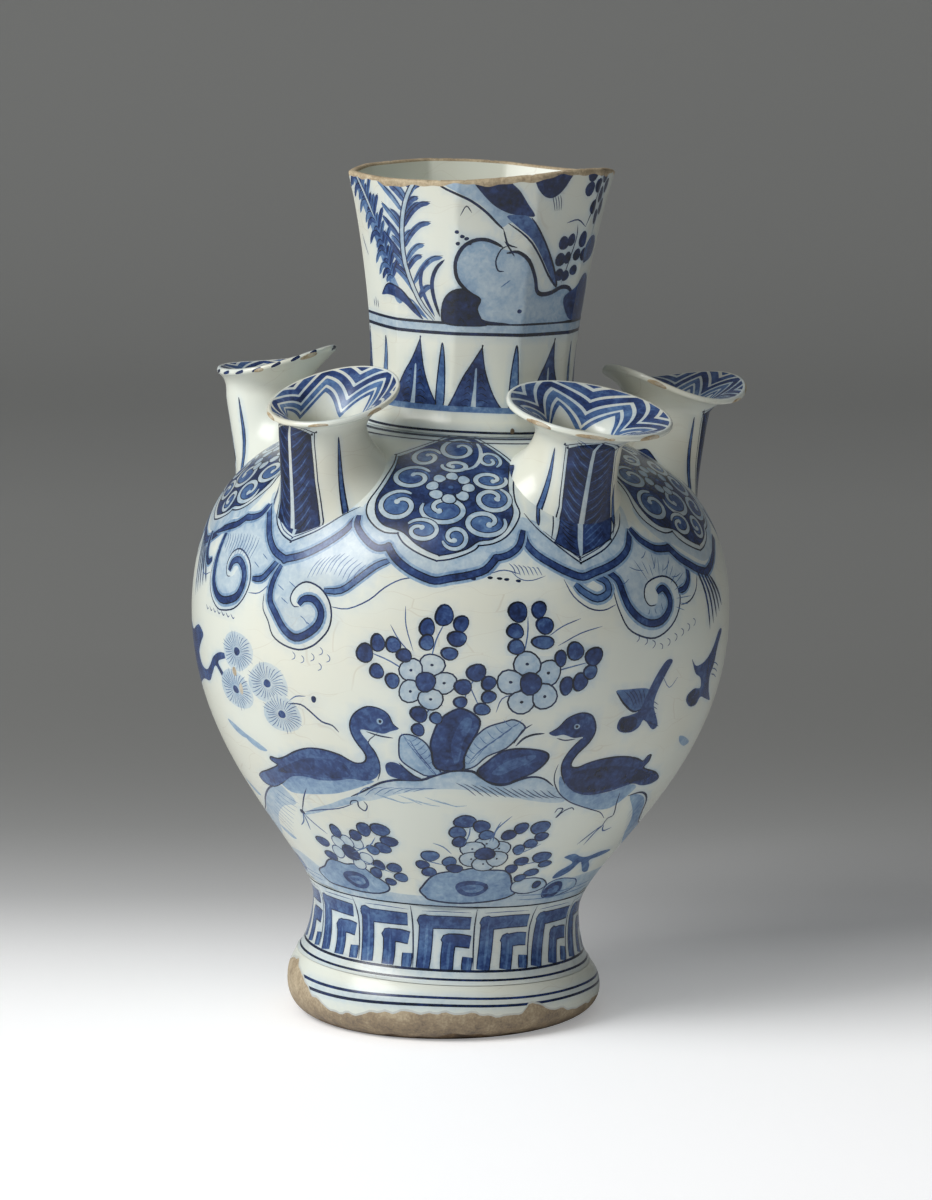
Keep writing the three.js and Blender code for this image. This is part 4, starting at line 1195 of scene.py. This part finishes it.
flare_pull = (rim_radius - pull_down * np.cos(rim_slope), rim_height - pull_down * np.sin(rim_slope))
flare_start = neck_seat + neck_waist_rise
neck_wall = Wall(
    curve((shoulder_radius, neck_seat), (shoulder_radius, neck_seat + neck_cove / 2),
          (neck_waist, neck_seat + neck_cove / 2), (neck_waist, neck_seat + neck_cove)),
    curve((neck_waist, flare_start), (neck_waist, flare_start + pull_up),
          flare_pull, (rim_radius, rim_height - 1), 120),
    curve((rim_radius, rim_height - 1), (rim_radius + 0.2, rim_height + 0.4),
          (rim_radius - rim_wall, rim_height + 0.5), (rim_radius - rim_wall, rim_height - 1), 20),
    curve((rim_radius - rim_wall, rim_height - 1), (flare_pull[0] - rim_wall, flare_pull[1]),
          (bore_of_neck, flare_start + pull_up), (bore_of_neck, flare_start), 120),
    [(bore_of_neck, neck_seat), (shoulder_radius, neck_seat)],
)
neck_marks = neck_wall.marks
neck_rows = rows_along((0, neck_marks[2], 3), (neck_marks[2], neck_marks[3], 0.5),
                       (neck_marks[3], neck_marks[4], 5), (neck_marks[4], neck_marks[-1], 6))


def smooth_step(value, low, high):
    """0 below low, 1 above high and 3t^2 - 2t^3 between."""
    t = np.clip((value - low) / (high - low), 0, 1)
    return t * t * (3 - 2 * t)


def neck_surface(x, y):
    """The neck's profile turned, drawn in towards a soft polygon, with its rim raised by slow waves."""
    radius, height = neck_wall.at(y)
    side = 360 / facets
    azimuth = np.degrees(x / belly_radius)
    off_corner = np.abs((azimuth - facet_turn) % side - side / 2)
    flat = np.cos(np.radians(side / 2)) / np.cos(np.radians(off_corner))
    fade = smooth_step(height, neck_seat, neck_seat + facet_fade)
    radius = radius * (1 + (flat - 1) * facet_softness * fade)
    share = smooth_step(height, flare_start, rim_height)
    for lobes, rise, crest in rim_waves:
        height = height + share * rise * np.cos(lobes * np.radians(azimuth - crest))
    return leaning(around(x, radius, height))


def neck_stretch(y):
    """Canvas mm for a real mm round the neck at a canvas height."""
    return belly_radius / np.interp(y, neck_wall.length, neck_wall.points[:, 0])


on_neck = Brush(neck_stretch)
# Pointed leaves and thin spikes in the lower band
for x in (-427, -338, -249, -160, -62, 9, 100, 190):
    sign = -1 if x in (-62, -338) else 1
    tip = 37 + 2 * (x != 9)
    on_neck.edged(0.72, 0.93, 0.6, x - 36, 10.8, x - 36, 10.8, x - 29, 16, x - 20, 24, x - 10, 30.5, x, tip,
                  x, tip, x + 4, 28, x + 12, 19.5, x + 20, 14, x + 27, 10.8, x + 27, 10.8)
    on_neck.wash(0.14, x - 10, 11, x - 10, 11, x - 7.5, 20, x - 6.6, 27.5, x - 4.6, 27.5, x - 4.4, 20,
                 x - 4, 11, x - 4, 11)
    for i in range(6):
        on_neck.line(0.97, 0.4, x - 11, 12 + 2.6 * i, x - 16 + i, 12.6 + 2.7 * i,
                     x - 23 + 1.8 * i, 11 + 2.8 * i)
        on_neck.line(0.97, 0.4, x - 3, 12 + 2.6 * i, x + 3 - i * 0.4, 12.4 + 2.7 * i,
                     x + 13 - 2 * i, 11 + 2.6 * i)
for x in (-383, -294, -205, -116, -35, 47, 137, 235):
    on_neck.edged(0.5, 0.92, 0.6, x - 5, 12, x - 4.6, 24, x - 2, 34, x, 38, x + 2.5, 33, x + 4.4, 22,
                  x + 3.6, 11.5)
on_neck.ring(0.45, 10.8, 2.4, 0.2)
on_neck.ring(0.93, 1.4, 1.0, 0.15)
on_neck.spot(1.0, 44, 2.4, 2.4, 1.2, bare=0.95)
on_neck.ring(0.16, 44.5, 4, 0.2)
on_neck.ring(0.95, 42.2, 1.4, 0.2)
on_neck.ring(0.95, 46.6, 1.2, 0.2)

picture = Brush(neck_stretch)
# Rock with a dark boulder
picture.wash(0.2, 2, 58, -10, 61, -20, 66, -22, 73, -16, 79, -5, 82, 8, 82, 22, 78, 38, 76, 50, 72, 60, 65,
             64, 60, 75, 58.5, 98, 60.5, 112, 59.5, 124, 54, 122, 47.5, 60, 47, 30, 47, 10, 48.5, 1, 52)
picture.line(0.93, 1.7, 3, 57.5, -10, 60.8, -20, 66, -22, 73, -16, 79, -6, 82, 5, 82.3, 15, 80.6, 23, 78.5)
picture.line(0.93, 1.8, 27, 76, 38, 76.2, 50, 72.4, 60, 65, 64, 60, 72, 58.3, 85, 58.8, 98, 60.6, 110, 60,
             118, 57, 125, 53.5)
picture.line(0.9, 1.2, -4, 46.8, 4, 48.5, 14, 47.4, 40, 46.6)
picture.edged(0.9, 0.97, 0.8, -36, 48, -35, 55, -28, 59.6, -16, 61.5, -5, 59.5, 4, 57, 1, 53, 7, 48, 12, 46.4,
              -10, 46, -30, 46.4)
picture.spot(0.85, 46, 52, 2.4, 0.9)
picture.line(0.5, 0.5, 24, 62, 34, 65)
# Long-tailed bird, cut by the rim
picture.wash(0.2, -44, 112, -40, 109, -28, 105, -15, 101.5, 0, 97, 12, 91, 20, 87, 27, 88.5, 38, 89, 44, 93,
             30, 100, 18, 106, 8, 112)
picture.wash(0.84, -14, 112, -6, 106, 4, 100, 14, 95.6, 27, 92.4, 40, 91, 50, 90.6, 42, 96, 33, 102, 22, 107,
             12, 112)
picture.wash(0.58, 24, 91.5, 34, 87, 50, 81, 65, 73, 78, 66, 90, 61, 87, 65.5, 74, 74, 60, 82.5, 46, 90,
             36, 91.5)
picture.line(0.93, 1.0, 26, 88.5, 45, 82, 62, 73.6, 76, 66, 90, 61, 86, 66, 73, 75, 58, 84, 47, 90)
picture.line(0.93, 1.1, -44, 110, -35, 105.6, -20, 102, -8, 98.8, 5, 93.8, 15, 89, 22, 86)
picture.line(0.9, 0.8, 22, 86, 25, 82, 28, 79.5, 37, 78)
picture.line(0.9, 0.7, 24, 81, 31, 77, 35, 74.5)
picture.line(0.9, 0.7, 27, 79, 21, 77.5, 17, 73, 20, 69, 26, 68.6)
picture.line(0.9, 0.5, -18, 93, -13, 97, -8, 94)
for x, y in ((-21, 86), (-16, 84), (-20, 81), (-12, 83), (-9, 81)):
    picture.spot(0.9, x, y, 2.2, 0.8)
picture.wash(0.8, 45, 112, 47, 104, 55, 99, 65, 97.2, 75, 99, 83, 104, 88, 112)
for i in range(4):
    picture.line(0.85, 0.4, 66 + 3 * i, 98, 69 + 3 * i, 95, 72 + 2.4 * i, 91.5)
# Leaves and a blossoming rock on the right
for x, y, rx, ry in ((91, 78, 7, 2.8), (101, 79, 5.5, 2.6), (90, 71.5, 7, 2.8), (100, 72, 5, 2.4),
                     (92, 65.5, 7, 2.4), (101, 65, 5.5, 2.2), (113, 73, 5.5, 2.4), (112, 67, 6, 2),
                     (118, 79, 6, 3.2), (124, 73, 6, 2.6), (112, 99.5, 6.5, 3), (112, 106, 7, 3.4),
                     (124, 101, 6, 3), (125, 108, 6.5, 3), (137, 97, 6, 3.4), (138, 105, 6.5, 3.2),
                     (124, 92, 6, 3), (137, 88, 6, 3), (150, 92, 6, 3.4), (151, 101, 6, 3.2)):
    picture.spot(0.84, x, y, rx, ry)
picture.line(0.8, 0.6, 97, 62, 104, 72, 108, 80, 106, 85)
picture.line(0.7, 0.6, 90, 86, 105, 87, 118, 84)
picture.line(0.85, 0.8, 118, 84, 126, 95, 131, 106, 133, 112)
picture.line(0.85, 0.8, 140, 80, 144, 95, 144, 110)
picture.wash(0.68, 104, 56, 120, 60, 140, 65, 160, 64, 176, 58, 178, 47, 150, 47, 126, 47, 114, 49)
picture.wash(0.6, 126, 76, 140, 80, 158, 80, 170, 76, 160, 72, 140, 70, 128, 70)


def frond(brush, rib, bare_rib, count, sides, ink):
    """A feathery frond. Each side's leaflets reach across and up off the rib and arch by a bow on the way."""
    path = smooth(rib)
    t = np.linspace(0, 1, 4)
    for i, base in enumerate(path[np.linspace(3, len(path) - 6, count).astype(int)]):
        for side, (across, up, bow) in enumerate(sides):
            far = 0.78 + 0.34 * np.sin(2.4 * i + 2 * side)
            leaflet = base + far * np.column_stack([across * t, up * t + 4 * bow * t * (1 - t)])
            brush.line(ink + 0.16 * ((i + side) % 2), 2.7, *leaflet.ravel(), ends=0.06)
            brush.line(0.9, 0.45, *(leaflet + (0.3, 0.8)).ravel())
    brush.line(0.85, 2.8, *bare_rib, ends=0.4)
    brush.line(0.12, 1.6, *bare_rib, ends=0.4)


# Two big fronds on the left, a drooping blade and a tuft at their foot
second_rib = (-148, 111, -133, 101, -118, 90, -104, 76, -94, 64, -86, 56)
picture.wash(0.4, -152, 108, -138, 108, -120, 96, -106, 82, -92, 66, -82, 56, -90, 54, -108, 68, -126, 84,
             -144, 98)
frond(picture, second_rib, second_rib[:6], 19, ((-23, -4, 3.2), (13, 10, 1.2)), 0.5)
for bow in (0, 1.2, 2.4, 4):
    picture.line(0.5, 0.7, -52, 47.5, -66 - bow, 51 + bow, -80 - 2 * bow, 54 + bow)
blade = (-119, 56, -108, 60.5, -97, 61.5, -84, 59.5, -72, 54.5, -58, 47.5)
picture.wash(0.7, *blade, -68, 49.5, -80, 53.5, -92, 56, -106, 56.5)
picture.line(0.93, 0.8, *blade)
main_rib = (-49, 110, -61, 107, -72, 98, -78, 86, -77, 71, -63, 56, -45, 47.5)
frond(picture, main_rib, main_rib, 15, ((-25, 12, 1.8), (31, 12, 3.6)), 0.45)
for i in range(3):
    picture.line(0.8, 0.6, -140 + 5 * i, 49.5, -140.5 + 5 * i, 53 + i % 2)
picture.line(0.8, 0.6, -153, 81, -149, 76.5, -143, 72)
picture.line(0.84, 1.9, -38, 49, -45, 57, -47, 64, -42, 70, -33, 74, ends=0.1)
picture.line(0.66, 1.8, -44, 49, -54, 56, -60, 63, -57, 70, -49, 73, ends=0.1)
# The back of the neck has the same picture
on_neck.add(picture, np.pi * belly_radius)
on_neck.add(picture)
# The rim is worn to the clay, down to an uneven edge
worn = neck_marks[2] - 1.4 - waves((0.7, 7, 0), (0.5, 16, 1), (0.3, 37, 0))
on_neck.band(0.0, way_round, worn, neck_marks[3], 0.9)
neck = painted_skin("neck_painted", neck_surface, neck_rows, on_neck, (0, neck_marks[3]))
neck.data.materials.append(painted_glaze)
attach(neck, "root")
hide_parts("neck")

# Spouts
# Five short tubes with trumpet mouths, made by hand and luted over the holes with a thick skirt of
# slip. A dark feathered leaf is painted down each one, and zigzags inside its mouth.

tube_nominal = 34.0  # canvas length that stands for a tube, whatever its real one
flare_power, skirt_power = 2.2, 2.2
skirt_spread, skirt_rise = 10.0, 20.0
deepest, buried = -85.0, 1.5
spout_half = np.pi * tube_radius


def trumpet(mouth_radius):
    """The mouth's profile from the tube, out to the round lip and back in to the bore. Its radius grows
    with a power of the way up."""
    t = np.linspace(0, 1, 50)
    outer = np.column_stack([tube_radius + (mouth_radius - tube_radius) * t**flare_power,
                             -flare_depth + t * (flare_depth - lip_thickness)])
    inner = np.column_stack([bore_radius + (mouth_radius - bore_radius) * t**flare_power - 0.8 * t,
                             -flare_depth + t * flare_depth])
    lip = curve(outer[-1], outer[-1] + (0.9, 0.9), inner[-1] + (0.9, 0.2), inner[-1], 20)
    return Wall(outer, lip, inner[::-1])


def tube_points(shape, angle, depth, radius, skirted):
    """Points on a tube of a spout, in the upright pot. Near the dome its outer wall is spread into a
    skirt by a power of the nearness, least on the side away from the neck."""
    outward = np.cos(angle)
    plain = np.stack([radius * np.sin(angle), -radius * outward, depth], -1)
    placed = spout_place(shape, plain)
    over = placed[..., 2] - dome_height(np.hypot(placed[..., 0], placed[..., 1]))
    near = np.clip(1 - over / skirt_rise, 0, 1.15)
    spread = skirted * skirt_spread * near**skirt_power * (1 - 0.95 * (1 + outward) / 2)
    plain = plain * np.stack([1 + spread / radius, 1 + spread / radius, 1 + 0 * spread], -1)
    return spout_place(shape, plain)


def tube_ends(shape, radius, skirted):
    """How deep each line of a tube runs until it is buried in the dome, for 72 lines round it."""
    turn = np.linspace(-np.pi, np.pi, 73)
    angle, depth = np.meshgrid(turn, np.linspace(-flare_depth, deepest, 240), indexing="ij")
    lines = tube_points(shape, angle, depth, radius, skirted)
    over = lines[..., 2] - dome_height(np.hypot(lines[..., 0], lines[..., 1])) + buried
    return turn, np.array([np.interp(0, -row, d) for row, d in zip(over, depth)])


def spout_surface(shape):
    """The surface of a spout as a function of the canvas: up the tube, round the mouth, down the bore
    and back under the wall. The mouth is tilted, moved and bent into a saddle."""
    mouth = trumpet(shape.mouth_radius)
    steepness = np.tan(np.radians(shape.tilt - shape.lean))
    turn, outer_end = tube_ends(shape, tube_radius, 1)
    bore_end = tube_ends(shape, bore_radius, 0)[1]
    stops = np.cumsum([0, tube_nominal, mouth.marks[-1], tube_nominal, tube_radius - bore_radius])

    def surface(x, y):
        angle = x / tube_radius
        wrapped = (angle + np.pi) % (2 * np.pi) - np.pi
        low, deep = np.interp(wrapped, turn, outer_end), np.interp(wrapped, turn, bore_end)
        up = np.clip((y - stops[0]) / tube_nominal, 0, 1)
        down = np.clip((y - stops[2]) / tube_nominal, 0, 1)
        outside = tube_points(shape, angle, low + up * (-flare_depth - low), tube_radius, 1)
        inside = tube_points(shape, angle, -flare_depth + down * (deep + flare_depth), bore_radius, 0)
        radius, height = mouth.at(y - stops[1])
        share = smooth_step(height, -flare_depth, 0)
        off_saddle = angle - np.radians(shape.saddle_turn)
        bend = shape.saddle * (radius / shape.mouth_radius) ** 2 * np.cos(2 * off_saddle)
        outwards = radius * np.cos(angle)
        trumpet_points = np.stack([
            radius * np.sin(angle) + share * shape.sideways,
            -outwards - share * shape.outward,
            height + share * (bend - outwards * steepness),
        ], -1)
        flared = spout_place(shape, trumpet_points)
        under = np.clip((y - stops[3]) / (tube_radius - bore_radius), 0, 1)[..., None]
        closing = inside * (1 - under) + tube_points(shape, angle, low, tube_radius, 1) * under
        region = np.searchsorted(stops[1:-1], y, side="right")[..., None]
        return leaning(np.choose(region, [outside, flared, inside, closing]))

    return surface, stops, mouth


# The leaf on a tube: its left edge at the top and at the base, its right edge likewise, and its spine
usual_leaf = (-14.6, -13.6, 6.6, 9.0, -4.2)
leaves = {"spout_front_left": (-12.4, -13.4, 7.9, 8.8, -2.5)}
usual_spikes = (-20.5, 12.4)
wide_spikes = {"spout_left": (-20, 21.7), "spout_front_left": (-20, 19.5)}
zigzag_turn = {"spout_front_right": 0.0, "spout_right": 25.0, "spout_back": 10.0, "spout_left": -15.0,
               "spout_front_left": -25.0}
# Chips in each lip: canvas place round the spout, width and height in mm
lip_chips = {
    "spout_front_right": ((-22, 3.4, 1.5), (-9.6, 3.6, 1.2), (-5.5, 0.8, 0.7), (4.5, 3.2, 1.6)),
    "spout_right": ((-38, 2.6, 1.2), (-14, 2.4, 1.2), (-3, 6.5, 2.1)),
    "spout_back": ((-10, 3, 1.3), (14, 2.5, 1.2), (40, 2, 1)),
    "spout_left": ((2, 4.4, 1.9), (30, 1.6, 1), (46, 3, 1.2)),
    "spout_front_left": ((-10, 3.4, 1.8), (8.6, 2.8, 1.3), (24.6, 2.4, 1.6)),
}


def zigzags(brush, name, mouth_radius, inside, throat):
    """Nested chevrons in a mouth, from below its lip down into the white throat. Their edge is a saw of
    straight teeth, more of them in the right spout."""
    x = np.linspace(-spout_half, spout_half, 241)
    angle = x / tube_radius - np.radians(zigzag_turn[name])
    teeth = 8 if name == "spout_right" else 5
    saw = np.abs((angle / (2 * np.pi) * teeth - 0.5) % 1 - 0.5) * 2
    scale = (mouth_radius - bore_radius) / 18
    for deep, ink in ((-12, 0.66), (-9, 0.02), (-7, 0.62), (-2.4, 0.02), (-0.6, 0.72), (3.6, 0.03),
                      (5.4, 0.5), (9.2, 0.03), (10.8, 0.55), (13.2, 0.02)):
        edge = inside + (deep + 12 * (1 - saw) + 0.5 * np.sin(7 * angle)) * scale
        brush.band(ink, x, np.clip(edge, inside + 0.6, throat - 0.5), throat, bleeds=False)


def spout_painting(name, mouth_radius, stops, mouth):
    """A feathered leaf with a pale spine down the tube, a spike on each side, zigzags in the mouth."""
    brush = Brush(lambda y: tube_radius / np.interp(y, stops[:3], [tube_radius, mouth_radius, bore_radius]))
    top = stops[1] + 6
    left_top, left_low, right_top, right_low, spine = leaves.get(name, usual_leaf)
    for out, ink in ((1.3, 0.02), (0, 0.82)):
        brush.edged(ink, 0.93, 0.6, left_low - out + 2.8, -3, left_low - out + 0.8, 7, left_low - out, 17,
                    left_top - out, top - 4.5 + out, left_top - out, top - 4.5 + out,
                    spine, top + 2.6 + 1.6 * out, spine, top + 2.6 + 1.6 * out,
                    right_top + out, top - 4.2 + out, right_top + out, top - 4.2 + out, right_low + out, 18,
                    right_low + out, -3)
    for i in range(18):
        y = 2.3 * i - 2
        for edge, side in ((left_low, -1), (right_top, 1)):
            ink = 0.56 if (i + (side > 0)) % 2 else 0.96
            brush.line(ink, 0.55, spine + side * 1.2, y, (spine + edge) / 2, y + 2.6,
                       edge - side * 1.2, y + 7)
    brush.wash(0.1, spine - 1, -3, spine - 0.9, 18, spine - 0.5, top, spine + 0.5, top, spine + 0.9, 18,
               spine + 1, -3)
    for x, tall in zip(wide_spikes.get(name, usual_spikes), (34, 34 if name in wide_spikes else 17)):
        brush.edged(0.55, 0.92, 0.6, x - 0.7, -3, x - 0.9, tall * 0.4, x - 0.5, tall * 0.8, x, tall,
                    x + 0.5, tall * 0.8, x + 0.9, tall * 0.4, x + 0.7, -3)
    # The side next to the neck has only a small arch at its foot
    brush.edged(0.7, 0.9, 0.7, -44, -3, -40, 3, -38, 6, -35, 3, -31, -3)

    zigzags(brush, name, mouth_radius, stops[1] + mouth.marks[2], stops[2])
    # Dabs of blue on the lip of the left spout, and chips down to the clay
    lip = stops[1] + mouth.marks[1]
    if name == "spout_left":
        for x in np.arange(-54, 54, 6.0):
            y = lip + 1.3 + 0.4 * np.sin(2 * x)
            brush.line(0.85, 1.5, x - 2.2, y - 0.5, x, y + 0.3, x + 1.6 + np.sin(x), y + 0.5, ends=0.5)
    for x, wide, tall in lip_chips[name]:
        brush.spot(0.0, x, lip + 0.6, wide, tall, bare=0.95)
        brush.spot(0.0, x + 0.3 * wide, lip + 0.9, wide * 0.5, tall * 0.6, bare=0.7)
    return brush


spout_glaze = glazed_clay("spout_glaze", 0.8)
for name, shape in spout_shapes.items():
    surface, stops, mouth = spout_surface(shape)
    spout_rows = rows_along((0, stops[1], 2), (stops[1], stops[2], 1), (stops[2], stops[3], 5),
                            (stops[3], stops[4], 4))
    on_spout = spout_painting(name, shape.mouth_radius, stops, mouth)
    spout = painted_skin(name + "_painted", surface, spout_rows, on_spout, (0, stops[2]),
                         (-spout_half, spout_half), 72)
    spout.data.materials.append(spout_glaze)
    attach(spout, "root")
    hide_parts(name)

# Table, light and camera
# A pale sweep of paper under and behind the vase, two soft lamps and the camera at the photo's angle.

paper = bpy.data.materials.new("pale_paper")
paper.use_nodes = True
shader = paper.node_tree.nodes["Principled BSDF"]
start = Shade(paper.node_tree)
depth = start.node("SeparateXYZ", {"Vector": start.node("TexCoord", output="Object")}, "Y")
# The paper is white at the front and turns grey behind the vase: painted shade for the light falling off
# towards the back
painted_falloff = depth.node(
    "ValToRGB",
    {"Fac": depth * 0.5 + 0.25},
    stops=[(0.0, srgb(255, 255, 255)), (0.22, srgb(255, 255, 255)), (0.3, srgb(246, 246, 245)),
           (0.36, srgb(200, 200, 199)), (0.44, srgb(156, 156, 154)), (0.55, srgb(143, 143, 140)),
           (0.7, srgb(147, 147, 144)), (1.0, srgb(165, 165, 162))],
    blend="B_SPLINE",
)
painted_falloff.into(shader, "Base Color")
shader.inputs["Roughness"].default_value = 0.9
shader.inputs["Specular IOR Level"].default_value = 0.1
# The front of the table glows a little to the camera alone, as the photo's white paper does
seen = start.node("LightPath", output="Is Camera Ray")
(seen * (1 - depth.rise(-0.1, 0.25))).into(shader, "Emission Color")
shader.inputs["Emission Strength"].default_value = 0.27

# In section the paper runs level, bends up in a quarter circle and stands upright
floor_front, floor_back, floor_side, wall_top, sweep = -3.0, 2.2, 4.0, 3.5, 0.8
level = floor_back - floor_front
across, along = np.meshgrid(np.linspace(-floor_side, floor_side, 9), np.linspace(0, 1, 60))
length = along * (level + sweep * np.pi / 2 + wall_top)
bend_angle = np.clip((length - level) / sweep, 0, np.pi / 2)
paper_y = floor_front + np.minimum(length, level) + sweep * np.sin(bend_angle)
rest = np.maximum(length - level - sweep * np.pi / 2, 0)
paper_z = sweep * (1 - np.cos(bend_angle)) + rest
corner = np.arange(across.size).reshape(across.shape)
quads = np.stack([corner[:-1, :-1], corner[:-1, 1:], corner[1:, 1:], corner[1:, :-1]], -1).reshape(-1, 4)
floor_mesh = bpy.data.meshes.new("paper_sweep")
floor_mesh.from_pydata(np.stack([across, paper_y, paper_z], -1).reshape(-1, 3).tolist(), [], quads.tolist())
floor_mesh.shade_smooth()
floor = bpy.data.objects.new("paper_sweep", floor_mesh)
bpy.context.scene.collection.objects.link(floor)
floor.data.materials.append(paper)


def soft_lamp(name, place, aim, size, power):
    """A square area lamp that points from its place at an aim."""
    light = bpy.data.lights.new(name, "AREA")
    light.size = size
    light.energy = power
    lamp = bpy.data.objects.new(name, light)
    lamp.location = place
    lamp.rotation_euler = (Vector(aim) - Vector(place)).to_track_quat("-Z", "Y").to_euler()
    bpy.context.scene.collection.objects.link(lamp)


soft_lamp("key_lamp", (-1.9, -1.1, 1.8), (0, 0, 0.18), 1.5, 54)
soft_lamp("top_lamp", (-0.8, -1.3, 2.0), (0, 0, 0.3), 0.8, 5)

world = bpy.context.scene.world or bpy.data.worlds.new("studio")
bpy.context.scene.world = world
world.use_nodes = True
room = world.node_tree.nodes["Background"]
room.inputs["Color"].default_value = (*srgb(215, 218, 222), 1)
# The room is darker on the right
start = Shade(world.node_tree)
rightwards = start.node("SeparateXYZ", {"Vector": start.node("TexCoord", output="Generated")}, "X")
(0.33 - rightwards * 0.2).into(room, "Strength")

# The camera was fitted to the ellipses of the painted lines: its place in mm from the foot's axis and the
# table, how many degrees it looks down, and its lens
eye = (9.6, -2200.0, 534.4)
looks_down = 9.319
camera_data = bpy.data.cameras.new("camera")
camera_data.lens = 158.1
camera_data.sensor_width = 36
camera_data.shift_y = 7 / 1200
camera_data.clip_end = 50
camera = bpy.data.objects.new("camera", camera_data)
camera.location = ((foot_axis[0] + eye[0]) / 1000, (foot_axis[1] + eye[1]) / 1000, eye[2] / 1000)
camera.rotation_euler = (np.radians(90 - looks_down), 0, 0)
bpy.context.scene.collection.objects.link(camera)
bpy.context.scene.camera = camera
bpy.context.scene.view_settings.view_transform = "Standard"
